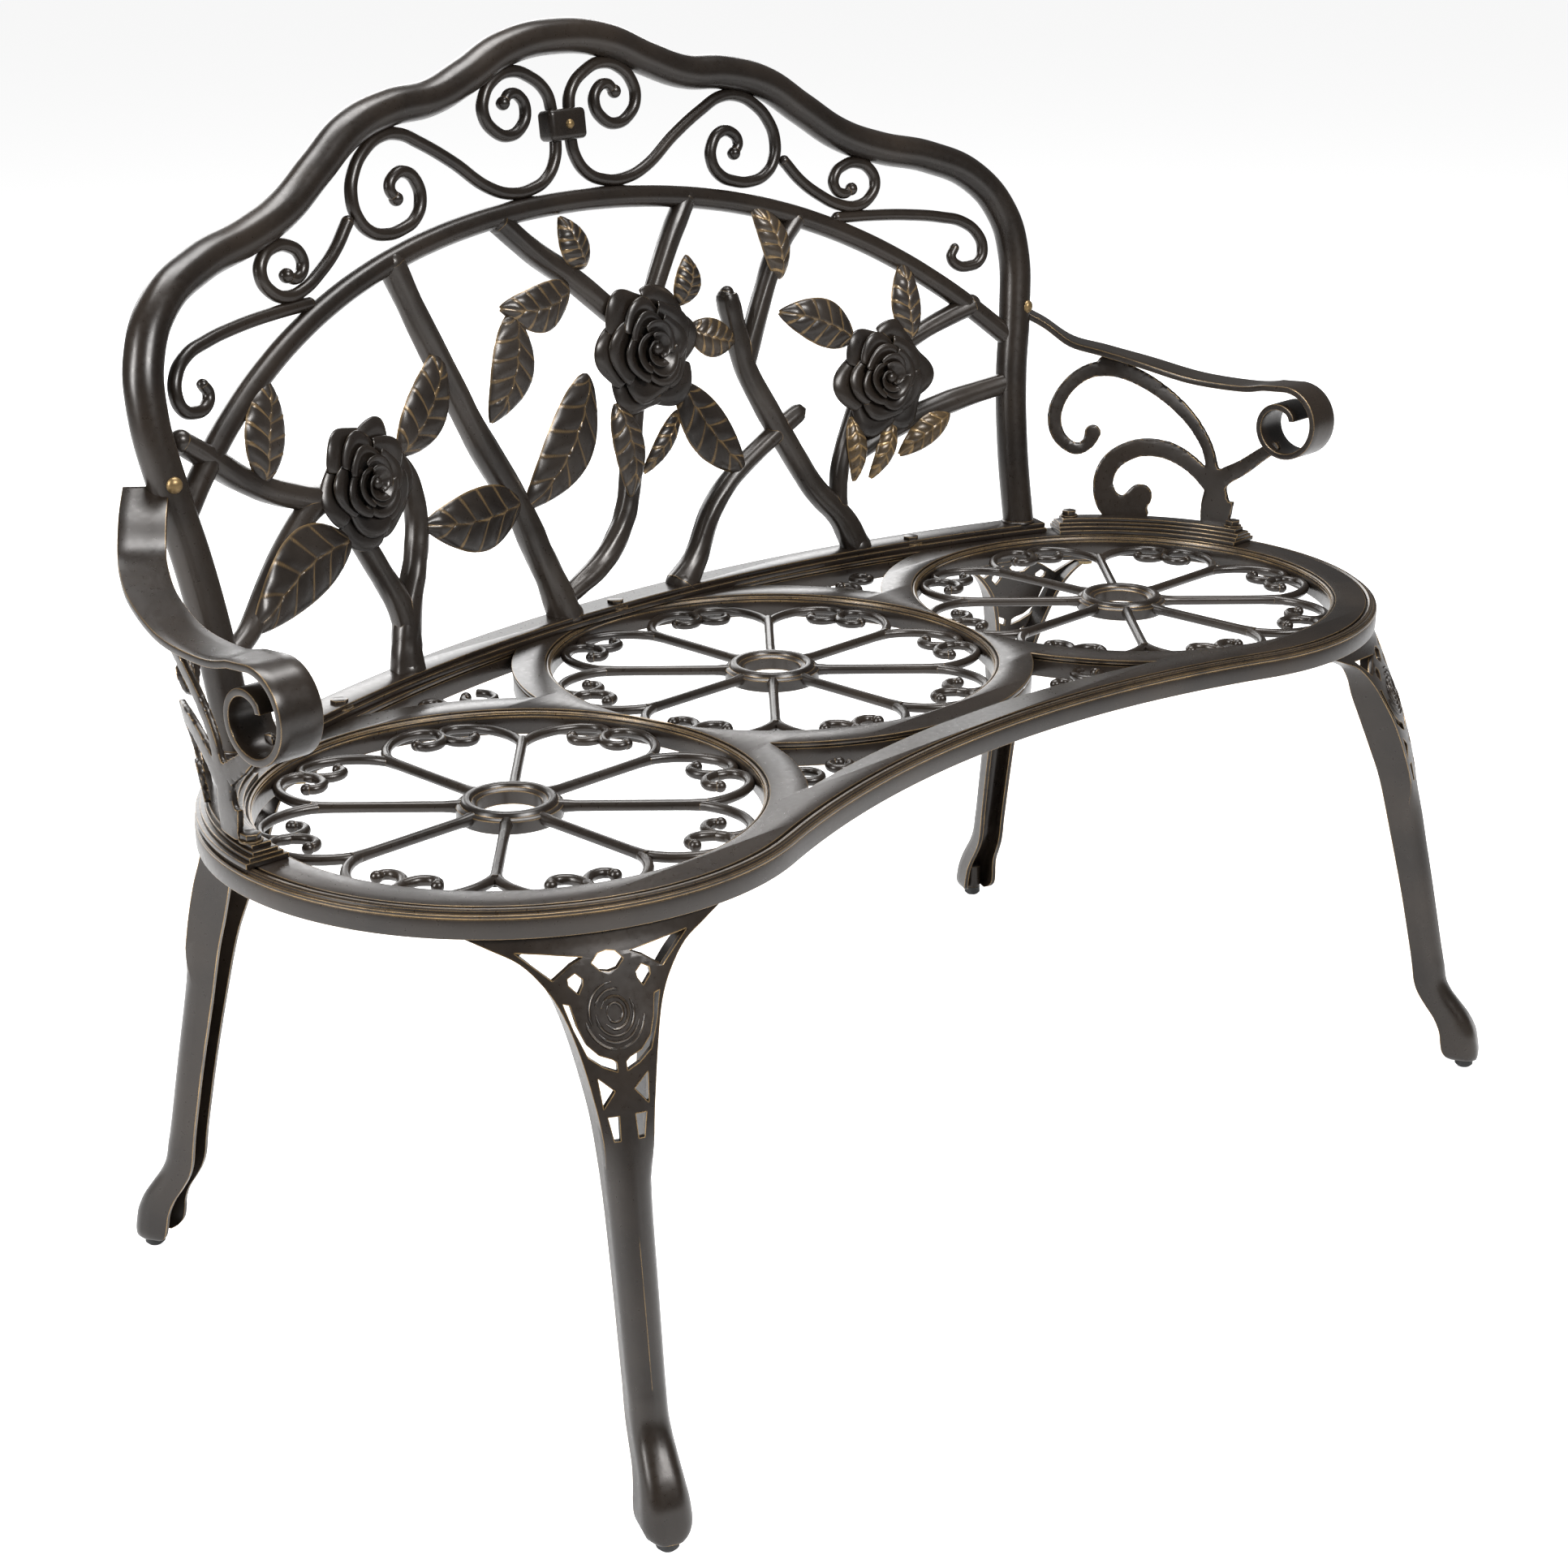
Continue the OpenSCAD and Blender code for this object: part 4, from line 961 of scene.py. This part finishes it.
# stalk end x, z, tip x, z, width, distance ahead of the back, bend, gilding
LEAVES = {
    "left": [
        (-340, 537, -317, 600, 36, 8, 0.06, 0.25), (-262, 482, -372, 446, 48, 10, -0.10, 0.2),
        (-200, 528, -148, 592, 38, 8, -0.06, 0.35), (-88, 472, -185, 474, 44, 10, 0.05, 0.25),
    ],
    "middle": [
        (-6, 552, -80, 466, 46, 10, 0.08, 0.15), (-72, 606, -104, 534, 40, 8, 0.08, 0.2),
        (-16, 618, -82, 612, 32, 9, 0.12, 0.3), (3, 632, -14, 668, 24, 8, 0.06, 0.5),
        (92, 594, 104, 627, 22, 12, -0.05, 0.6), (102, 572, 145, 558, 26, 9, -0.05, 0.7),
        (86, 532, 144, 456, 38, 9, -0.06, 0.35), (18, 526, 26, 457, 27, 12, 0.04, 0.15),
        (82, 511, 44, 471, 13, 9, 0.0, 0.15),
    ],
    "right": [
        (198, 602, 177, 658, 24, 9, -0.08, 0.7), (262, 546, 194, 574, 34, 10, -0.05, 0.6),
        (320, 540, 318, 601, 25, 9, 0.06, 0.5), (253, 482, 252, 433, 15, 9, 0.04, 0.9),
        (292, 478, 268, 433, 14, 9, 0.05, 0.9), (347, 476, 298, 448, 20, 9, -0.04, 1.0),
    ],
}


def leaf(x0, z0, x1, z1, wide, ahead, bend, gilding, veins=5):
    """A pointed leaf with a sunk midrib, side veins in fine relief and pillowed flesh between."""
    run = math.hypot(x1 - x0, z1 - z0)
    turn = math.atan2(z1 - z0, x1 - x0)

    def shape(s):
        return (math.sin(math.pi * min(s, 1) ** 0.86) ** 0.82) if 0 < s < 1 else 0.0

    def vein_mark(s, t):
        """1 on a vein, 0 off it."""
        mid = math.exp(-(t * shape(s) * wide / 2 / 0.75) ** 2)
        side_line = 0.0
        if 0.04 < s < 0.93 and abs(t) > 0.02:
            lag = s - 0.13 * abs(t) ** 0.8 - (0.04 if t > 0 else 0)
            phase = lag * (veins + 0.5)
            off = abs(phase - round(phase)) * run / (veins + 0.5)
            side_line = math.exp(-(off / 0.75) ** 2) * min(1, (1 - abs(t)) * 6 + 0.3)
        rim = 1.0 if abs(t) > 0.97 else 0.0
        return mid, side_line, rim

    def place(u, v):
        s = v
        t = 2 * u - 1
        half = shape(s) * wide / 2
        across = t * half
        along = (s - 0.5) * run
        mid, side_line, rim = vein_mark(s, t)
        lag = (s - 0.13 * abs(t) ** 0.8 - (0.04 if t > 0 else 0)) * (veins + 0.5)
        pillow = 1.7 * math.sin(math.pi * (lag - math.floor(lag))) ** 0.7 * min(1, half / 9)
        height = 2.6 * (1 - t * t) ** 0.5 * min(1, half / 8) + pillow * (1 - abs(t) ** 3)
        height += 0.7 * max(mid, side_line) - 1.1 * mid
        height += 3.0 * math.sin(math.pi * s) - 4.5 * max(s - 0.75, 0)
        return (along, across + bend * run * math.sin(math.pi * s), height)

    piece = grid("leaf", 32, 110, place)
    gilt = piece.data.attributes.new("gilt", "FLOAT", "POINT")
    columns = 33
    for k, corner in enumerate(piece.data.vertices):
        u = (k % columns) / (columns - 1)
        v = (k // columns) / 110
        mid, side_line, rim = vein_mark(v, 2 * u - 1)
        mark = max(mid * 0.8, side_line * 0.7, rim * 0.75)
        gilt.data[k].value = min(1.0, mark * (0.55 + 0.45 * gilding) + 0.5 * max(gilding - 0.6, 0))
    apply_modifier(piece, "SOLIDIFY", thickness=2.6, offset=-1)
    weld(piece, 0.02)
    place_at = back_frame((x0 + x1) / 2, (z0 + z1) / 2, ahead - 4)
    move(piece, place_at @ Matrix.Rotation(turn, 4, "Z"))
    return piece


def build_leaves():
    for word, sprays in LEAVES.items():
        pieces = [leaf(*spray) for spray in sprays]
        finish_piece(join(pieces, "l"), "veined_leaves_" + word, BRONZE_LEAF,
                     ["leaves_" + word], 45)


# ---------- arms ----------

ROLL_X = LOBE_X + LOBE_R - 3
ROLL_Y = -22
ROLL_Z = SEAT_TOP + 106
ROLL_R = 28.5
BAR_WIDTH = 30
BAR_THICK = 5
BASE_TOP = 12
ROLL_STEPS = [
    (0, 1), (30, 1), (60, 0.99), (90, 0.98), (120, 0.97), (150, 0.955), (180, 0.94), (210, 0.91),
    (240, 0.86), (270, 0.78), (300, 0.66), (330, 0.53), (360, 0.43), (395, 0.36), (430, 0.3),
]


def build_arm_bar(side, word):
    start_y = back_y(BACK_HALF, 544) - LOBE_Y + 6.5
    plan = [
        [BACK_HALF + 11, start_y + 3, 552], [LOBE_X + 131, start_y - 15, 540], [LOBE_X + 146, 171, SEAT_TOP + 154],
        [LOBE_X + 161, 147, SEAT_TOP + 147], [LOBE_X + 176, 115, SEAT_TOP + 139],
        [LOBE_X + 188, 70, SEAT_TOP + 130], [ROLL_X, 22, SEAT_TOP + 129], [ROLL_X, -2, SEAT_TOP + 133],
    ]
    path = [Vector(p) for p in smooth_line(plan, 6)]
    level = len(path)
    for a, share in smooth_line([list(q) for q in ROLL_STEPS], 4):
        r = share * ROLL_R
        path.append(Vector((ROLL_X, ROLL_Y - r * math.sin(math.radians(a)), ROLL_Z + r * math.cos(math.radians(a)))))
    count = len(path) - 1

    def place(u, v):
        k = round(v * count)
        here = path[k]
        step = path[min(k + 1, count)] - path[max(k - 1, 0)]
        if k >= level - 1:
            across = Vector((1, 0, 0))
        else:
            across = Vector((-step.y, step.x, 0)).normalized()
            if across.x < 0:
                across = -across
        wide = BAR_WIDTH / 2
        p = here + across * wide * (2 * u - 1)
        return (p.x, p.y + LOBE_Y, p.z)

    bar = grid("bar", 4, count, place)
    weld(bar, 0.001)
    apply_modifier(bar, "SOLIDIFY", thickness=BAR_THICK, offset=0)
    apply_modifier(bar, "BEVEL", width=1.0, segments=2, limit_method="ANGLE", angle_limit=math.radians(50))
    if side < 0:
        move(bar, Matrix.Scale(-1, 4, (1, 0, 0)))
    finish_piece(bar, "rolled_arm_" + word, BRONZE, ["arm_bar_" + word], 40)


BRACKET_R = LOBE_R - 9
BRACKET_LINES = [
    [(16, 10, 26), (17, 30, 24), (14, 48, 16), (-6, 62, 13), (-24, 76, 11), (-36, 84, 10)],
    [(2, 30, 4), (8, 22, 14), (16, 8, 22)],
    [(20, 50, 11), (28, 75, 10), (46, 98, 11), (72, 118, 12), (100, 131, 13), (124, 131, 12),
     (142, 118, 11), (152, 98, 11), (150, 79, 11), (137, 67, 10), (126, 71, 10), (122, 80, 13)],
    [(100, 136, 10), (114, 138, 10)],
    [(24, 44, 13), (40, 58, 14), (62, 68, 15), (86, 68, 15), (106, 56, 16), (113, 37, 17),
     (106, 20, 22), (92, 18, 22), (82, 28, 21)],
    [(80, 14, 12), (92, 12, 12), (104, 14, 12)],
]


def bracket_point(along, z, off):
    """The bracket stands on a curve around the side grille and leans out to the bar."""
    out = BRACKET_R + 0.2 * max(z - BASE_TOP, 0) * min(max(along, 0) / 105, 1) + off
    a = math.radians(7.6) + along / BRACKET_R
    return Vector((LOBE_X + out * math.cos(a), LOBE_Y + out * math.sin(a), SEAT_TOP + z))


def build_bracket(side, word):
    """Flat scrollwork: drawn flat, fused, then bent round the seat."""
    ribbons = []
    for points in BRACKET_LINES:
        path = smooth_line([list(p) for p in points], 5)
        count = len(path) - 1

        def place(u, v):
            k = round(v * count)
            ahead = path[min(k + 1, count)]
            behind = path[max(k - 1, 0)]
            dx = ahead[0] - behind[0]
            dz = ahead[1] - behind[1]
            size = math.hypot(dx, dz)
            off = path[k][2] * (u - 0.5)
            return (path[k][0] - dz / size * off, path[k][1] + dx / size * off, 0)

        strip = grid("ribbon", 2, count, place)
        apply_modifier(strip, "SOLIDIFY", thickness=4.6, offset=0)
        ribbons.append(strip)
        for end in (path[0], path[-1]):
            clear()
            bpy.ops.mesh.primitive_cylinder_add(
                vertices=24, radius=end[2] / 2, depth=4.6, location=(end[0], end[1], 0))
            bpy.ops.object.transform_apply(location=True, rotation=False, scale=False)
            ribbons.append(bpy.context.object)
    flat = join(ribbons, "flat")
    weld(flat, 0.001)
    apply_modifier(flat, "REMESH", mode="VOXEL", voxel_size=0.95, adaptivity=0.4)
    apply_modifier(flat, "SMOOTH", factor=0.5, iterations=3)
    for corner in flat.data.vertices:
        x, z, off = corner.co
        corner.co = bracket_point(x, max(z, 11.5), off)
    only(flat)
    bpy.ops.object.mode_set(mode="EDIT")
    bpy.ops.mesh.select_all(action="SELECT")
    bpy.ops.mesh.normals_make_consistent(inside=False)
    bpy.ops.object.mode_set(mode="OBJECT")
    if side < 0:
        move(flat, Matrix.Scale(-1, 4, (1, 0, 0)))
    finish_piece(flat, "scroll_bracket_" + word, BRONZE, ["arm_bracket_" + word], 40)


def arm_sector(r_in, r_out, start, end, low, high, bevel):
    centre = (LOBE_X, LOBE_Y)
    a = math.radians(start)
    b = math.radians(end)
    return plate([arc(centre, r_out, a, b, 40) + arc(centre, r_in, b, a, 40)], low, high, bevel)


def build_arm_base(side, word):
    inner = LOBE_R - 31
    outer = LOBE_R - 1
    steps = [
        arm_sector(inner, outer, 3, 55, SEAT_TOP, SEAT_TOP + 3.6, 0.6),
        arm_sector(inner + 3.2, outer - 3, 3.2, 54.8, SEAT_TOP + 3.4, SEAT_TOP + 6.4, 0.6),
        arm_sector(inner + 6.4, outer - 6, 3.4, 54.6, SEAT_TOP + 6.2, SEAT_TOP + 9.0, 0.6),
        arm_sector(inner + 8.8, outer - 8, 4.6, 53.4, SEAT_TOP + 8.8, SEAT_TOP + 12, 0.7),
    ]
    base = join(steps, "base")
    if side < 0:
        move(base, Matrix.Scale(-1, 4, (1, 0, 0)))
    finish_piece(base, "stepped_arm_base_" + word, BRONZE, ["arm_base_" + word], 30)


# ---------- legs ----------

LEG_STEPS = [
    (0, 0.995, 22, 19), (0.008, 1, 27, 24), (0.022, 0.998, 30, 27), (0.045, 0.985, 30, 27.5),
    (0.07, 0.965, 28.5, 27), (0.1, 0.915, 26, 26.5),
    (0.128, 0.845, 24.5, 26), (0.157, 0.77, 23.5, 24.5), (0.186, 0.72, 23, 23),
    (0.224, 0.69, 23, 22), (0.267, 0.655, 23.5, 21), (0.412, 0.56, 24.5, 21.5),
    (0.557, 0.461, 26, 23), (0.673, 0.389, 31, 25), (0.746, 0.33, 38, 27),
    (0.819, 0.253, 48, 27), (0.877, 0.172, 60, 24), (0.92, 0.113, 76, 19),
    (0.958, 0.059, 100, 14), (0.98, 0.025, 130, 10), (1, 0, 160, 8),
]
FOOT_Z = 8
FOOT_OUT = 10.6
LEG_TOP_R = LOBE_R - 3
LEG_WALL = 3.5
FRETWORK = [
    [(-52, 344), (-36, 342.5), (-14, 339.5), (-22, 336), (-33, 328.5)],
    [(-9.5, 336), (-5, 340.5), (0, 341.5), (5, 340.5), (9.5, 336), (5, 331.5), (0, 330.5), (-5, 331.5)],
    [(-20, 331.5), (-16, 328), (-16.5, 325), (-19.5, 320.5), (-24.5, 325.5), (-24.5, 329)],
    [(-29, 316), (-25, 302), (-19, 287), (-11, 281), (-3, 277.5), (-3, 282.5), (-5.5, 284.5),
     (-13, 287.5), (-19.5, 294), (-23, 303), (-25.5, 315)],
    [(-6, 267), (-15, 275), (-13.5, 258)],
    [(-5, 253), (-11.5, 253), (-9, 239), (-5.5, 239)],
]


def leg_face(z, end):
    """Radius of the leg's outer face, its width and depth at a height."""
    reach = (294 if end == 0 else 282) + FOOT_OUT
    share = (z - FOOT_Z) / (SEAT_UNDER - FOOT_Z)
    rows = LEG_STEPS
    for k in range(len(rows) - 1):
        if share <= rows[k + 1][0] or k == len(rows) - 2:
            a = rows[k]
            b = rows[k + 1]
            t = min(max((share - a[0]) / (b[0] - a[0]), 0), 1)
            out = a[1] + (b[1] - a[1]) * t
            return LEG_TOP_R + out * (reach - LEG_TOP_R), a[2] + (b[2] - a[2]) * t, a[3] + (b[3] - a[3]) * t
    return reach, 33, 27


def build_leg(end):
    """One cabriole leg, drawn straight ahead of its lobe: a channel with pierced fretwork."""
    table = smooth_line([list(q) for q in LEG_STEPS], 4)
    rows = len(table) - 1
    reach = (294 if end == 0 else 282) + FOOT_OUT
    side_steps = 3
    face_steps = 14

    def section(share, out, wide, deep):
        """Closed outline of the channel at one height: round the outside, then back inside."""
        r = LEG_TOP_R + out * (reach - LEG_TOP_R)
        h = wide / 2
        outside = []
        inside = []
        corner = math.sqrt(r * r - h * h)
        soft = 0.8 + 7.2 * min(max((0.66 - share) / 0.07, 0), 1)
        thick = min(LEG_WALL, h * 0.45)
        in_corner = math.sqrt((r - thick) ** 2 - (h - thick) ** 2)
        for k in range(side_steps, 0, -1):
            down = -corner + soft + (deep - soft) * k / side_steps
            outside.append((-h, down))
            inside.append((-h + thick, down + (corner - in_corner) * (1 - k / side_steps)))
        for k in range(face_steps + 1):
            t = 2 * k / face_steps - 1
            x = h * t
            ridge = 0
            if 0.1 < share < 0.70:
                fade = min((share - 0.1) / 0.15, 1, (0.70 - share) / 0.12)
                ridge = 2.4 * max(1 - abs(t) / 0.6, 0) * fade
            fall = soft * t ** 4
            outside.append((x, -math.sqrt(r * r - x * x) - ridge + fall))
            x = (h - thick) * t
            inside.append((x, -math.sqrt((r - thick) ** 2 - x * x) + fall))
        for k in range(1, side_steps + 1):
            down = -corner + soft + (deep - soft) * k / side_steps
            outside.append((h, down))
            inside.append((h - thick, down + (corner - in_corner) * (1 - k / side_steps)))
        return outside + inside[::-1]

    sections = [section(*row) for row in table]
    columns = len(sections[0])

    def place(u, v):
        row = round(v * rows)
        x, y = sections[row][round(u * columns) % columns]
        return (x, y, FOOT_Z + table[row][0] * (SEAT_UNDER - FOOT_Z))

    leg = grid("leg", columns, rows, place)
    only(leg)
    bpy.ops.object.mode_set(mode="EDIT")
    bpy.ops.mesh.select_all(action="SELECT")
    bpy.ops.mesh.remove_doubles(threshold=0.01)
    bpy.ops.mesh.select_all(action="DESELECT")
    bpy.ops.mesh.select_non_manifold()
    bpy.ops.mesh.fill()
    bpy.ops.mesh.select_all(action="SELECT")
    bpy.ops.mesh.normals_make_consistent(inside=False)
    bpy.ops.object.mode_set(mode="OBJECT")
    cutters = []
    for side in (-1, 1):
        for outline in FRETWORK:
            if side == 1 and abs(sum(p[0] for p in outline)) < 1:
                continue
            loop = [[side * -p[0], p[1]] for p in outline] if side == 1 else [list(p) for p in outline]
            cutter = plate([loop], 0, 60, 0.01)
            middle = loop[0][1]
            r = leg_face(middle, end)[0]
            move(cutter, Matrix.Translation((0, -r + 9, 0)) @ Matrix.Rotation(math.pi / 2, 4, "X"))
            cutters.append(cutter)
    cutter = join(cutters, "cutter")
    apply_modifier(leg, "BOOLEAN", object=cutter, operation="DIFFERENCE", solver="EXACT")
    bpy.data.objects.remove(cutter)
    apply_modifier(leg, "BEVEL", width=0.7, segments=1, limit_method="ANGLE",
                   angle_limit=math.radians(48), use_clamp_overlap=True)
    reliefs = []
    for radius, start, sweep in (
            (5, 0, 350), (8.5, 20, 300), (12, 150, 210), (12.2, 20, 90), (15.5, 200, 120),
            (15.8, -20, 110), (18.6, 190, 80), (18.8, 275, 75)):
        points = []
        for k in range(9):
            a = math.radians(start + sweep * k / 8)
            x = radius * 0.95 * math.cos(a)
            z = 309 + radius * 1.02 * math.sin(a)
            r = leg_face(z, end)[0]
            points.append((x, -math.sqrt(r * r - x * x) - 0.1, z))
        reliefs.append(rod(points, 1.0, [0.4] + [1] * 7 + [0.4], sides=1, steps=3))
    relief = join(reliefs, "relief")
    reliefs = [leg]
    flange = []
    for k in range(-18, 19, 3):
        a = math.radians(k)
        flange.append([math.sin(a), -math.cos(a)])
    outer = [[(LOBE_R - 4.5) * p[0], (LOBE_R - 4.5) * p[1]] for p in flange]
    inner = [[(LOBE_R - 30) * p[0], (LOBE_R - 30) * p[1]] for p in flange[::-1]]
    reliefs.append(plate([outer + inner], SEAT_UNDER - 5, SEAT_UNDER - 0.1, 0.8))
    for x_side in (-1, 1):
        clear()
        a = math.radians(16 * x_side)
        spot = ((LOBE_R - 19) * math.sin(a), -(LOBE_R - 19) * math.cos(a), SEAT_UNDER - 5.6)
        bpy.ops.mesh.primitive_cylinder_add(vertices=32, radius=11, depth=2.4, location=spot)
        bpy.ops.object.transform_apply(location=True, rotation=False, scale=False)
        pad = bpy.context.object
        apply_modifier(pad, "BEVEL", width=0.6, segments=2, limit_method="ANGLE")
        reliefs.append(pad)
    return join(reliefs, "leg"), relief


def leg_matrix(side, end):
    angle = math.radians(25.2 if end == 0 else 27.6)
    place = Matrix.Scale(side, 4, (1, 0, 0)) if side < 0 else Matrix.Identity(4)
    place = place @ Matrix.Translation((LOBE_X, 0, 0))
    if end == 1:
        place = place @ Matrix.Scale(-1, 4, (0, 1, 0))
    return Matrix.Translation((0, LOBE_Y, 0)) @ place @ Matrix.Rotation(angle, 4, "Z")


def build_legs():
    for end, end_word in ((0, "front"), (1, "rear")):
        leg, relief = build_leg(end)
        for side, side_word in ((-1, "left"), (1, "right")):
            name = end_word + "_" + side_word
            piece = copy_of(leg, leg_matrix(side, end))
            finish_piece(piece, "cabriole_leg_" + name, BRONZE, ["leg_" + name], 35)
            piece = copy_of(relief, leg_matrix(side, end))
            finish_piece(piece, "leg_rose_relief_" + name, BRONZE_ROSE, [], 60)
        bpy.data.objects.remove(leg)
        bpy.data.objects.remove(relief)


# ---------- fixings ----------


def hex_head(spot):
    """A small flanged hex head on its washer."""
    clear()
    bpy.ops.mesh.primitive_cylinder_add(vertices=6, radius=6.4, depth=4.0, location=(spot[0], spot[1], spot[2] + 3.2))
    bpy.ops.object.transform_apply(location=True, rotation=False, scale=False)
    head = bpy.context.object
    apply_modifier(head, "BEVEL", width=0.5, segments=2, limit_method="ANGLE")
    clear()
    bpy.ops.mesh.primitive_cylinder_add(vertices=32, radius=7.4, depth=1.4, location=(spot[0], spot[1], spot[2] + 0.6))
    bpy.ops.object.transform_apply(location=True, rotation=False, scale=False)
    washer = bpy.context.object
    apply_modifier(washer, "BEVEL", width=0.3, segments=2, limit_method="ANGLE")
    return [head, washer]


def build_fixings():
    rail = []
    for x in (-0.933 * LOBE_X, 0, 0.933 * LOBE_X):
        rail += hex_head((x, back_y(x, SEAT_TOP) - 5, SEAT_TOP + 5.2))
    finish_piece(join(rail, "h"), "rail_screw_heads", BRONZE, ["rail_screws"], 30)
    base = []
    for side in (-1, 1):
        for a in (7, 51):
            r = LOBE_R - 13
            turn = math.radians(a)
            spot = (side * (LOBE_X + r * math.cos(turn)), LOBE_Y + r * math.sin(turn), SEAT_TOP + 12)
            base += hex_head(spot)
    finish_piece(join(base, "h"), "arm_base_screw_heads", BRONZE, ["arm_base_screws"], 30)
    studs = []
    for side in (-1, 1):
        place = Matrix.Translation((side * (BACK_HALF + 1), back_y(BACK_HALF + 1, 556), 556))
        turn = Matrix.Rotation(math.radians(90), 4, "X")
        clear()
        bpy.ops.mesh.primitive_uv_sphere_add(segments=24, ring_count=12, radius=5.5)
        head = bpy.context.object
        for corner in head.data.vertices:
            corner.co.z = TUBE_R - 0.6 + max(corner.co.z, 0) * 0.7
        weld(head)
        flare = Matrix.Rotation(math.radians(side * 10), 4, "Z")
        move(head, place @ flare @ turn)
        studs.append(head)
    finish_piece(join(studs, "s"), "arm_screw_heads", GOLD, ["arm_tube_screws"], 50)
    keep = {
        "rail_nuts": ZINC, "arm_base_nuts": ZINC, "leg_bolts": ZINC, "foot_sockets": BRONZE_ROD,
        "glide_front_left": PLASTIC, "glide_front_right": PLASTIC,
        "glide_rear_left": PLASTIC, "glide_rear_right": PLASTIC,
    }
    for node, material in keep.items():
        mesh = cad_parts[node].data
        mesh.materials.clear()
        mesh.materials.append(material)


# ---------- studio ----------


def build_studio():
    world = bpy.data.worlds.new("studio")
    bpy.context.scene.world = world
    world.use_nodes = True
    nodes = world.node_tree.nodes
    links = world.node_tree.links
    background = nodes["Background"]
    background.inputs["Color"].default_value = (1, 1, 1, 1)
    path = nodes.new("ShaderNodeLightPath")
    level = nodes.new("ShaderNodeMapRange")
    level.inputs["To Min"].default_value = 0.13
    level.inputs["To Max"].default_value = 0.96
    links.new(path.outputs["Is Camera Ray"], level.inputs["Value"])
    links.new(level.outputs["Result"], background.inputs["Strength"])
    clear()
    bpy.ops.mesh.primitive_plane_add(size=60, location=(0, 0, 0))
    floor = bpy.context.object
    floor.name = "studio_floor"
    material = bpy.data.materials.new("pale_floor")
    material.use_nodes = True
    shader = material.node_tree.nodes["Principled BSDF"]
    shader.inputs["Base Color"].default_value = (0.93, 0.93, 0.93, 1)
    shader.inputs["Roughness"].default_value = 0.7
    shader.inputs["Emission Color"].default_value = (1, 1, 1, 1)
    glow = material.node_tree.nodes.new("ShaderNodeLightPath")
    level = material.node_tree.nodes.new("ShaderNodeMath")
    level.operation = "MULTIPLY"
    level.inputs[1].default_value = 0.80
    material.node_tree.links.new(glow.outputs["Is Camera Ray"], level.inputs[0])
    material.node_tree.links.new(level.outputs["Value"], shader.inputs["Emission Strength"])
    floor.data.materials.append(material)

    def lamp(name, spot, aim, size, size_y, power):
        light = bpy.data.lights.new(name, "AREA")
        light.shape = "RECTANGLE"
        light.size = size
        light.size_y = size_y
        light.energy = power
        piece = bpy.data.objects.new(name, light)
        bpy.context.scene.collection.objects.link(piece)
        piece.location = spot
        piece.rotation_euler = (Vector(aim) - Vector(spot)).to_track_quat("-Z", "Y").to_euler()

    lamp("key_softbox", (-0.2, -2.5, 2.5), (0, 0, 0.45), 1.3, 0.9, 100)
    lamp("left_softbox", (-2.7, 0.5, 1.7), (0, 0, 0.5), 0.8, 1.6, 85)
    lamp("top_softbox", (0.3, 0.4, 2.8), (0, 0, 0.4), 1.8, 0.9, 65)
    lamp("rear_softbox", (1.4, 3.0, 1.5), (0, 0, 0.4), 3.2, 1.6, 70)


def set_view():
    bpy.context.scene.view_settings.view_transform = "Standard"


def build_camera():
    camera = bpy.data.cameras.new("front_left_view")
    piece = bpy.data.objects.new("front_left_view", camera)
    bpy.context.scene.collection.objects.link(piece)
    bpy.context.scene.camera = piece
    camera.sensor_width = 36
    camera.lens = 62.342
    camera.shift_x = 0.04336
    camera.shift_y = -0.00131
    turn = Matrix((
        (0.705518, 0.248155, -0.663825),
        (-0.708657, 0.237712, -0.664303),
        (-0.007051, 0.939102, 0.343567),
    ))
    piece.location = (-1.36876, -1.24945, 0.96614)
    piece.rotation_euler = turn.to_euler()


def build_bench():
    build_seat()
    build_grilles()
    build_spandrel_scrolls()
    build_back_frame()
    build_scrolls()
    build_collar()
    build_branches()
    build_rose("left", -242, 516, 44, 100)
    build_rose("middle", 55, 564, 49, 200)
    build_rose("right", 287, 512, 45, 300)
    build_leaves()
    for side, word in ((-1, "left"), (1, "right")):
        build_arm_bar(side, word)
        build_bracket(side, word)
        build_arm_base(side, word)
    build_legs()
    build_fixings()


set_view()
build_camera()
build_studio()
build_bench()
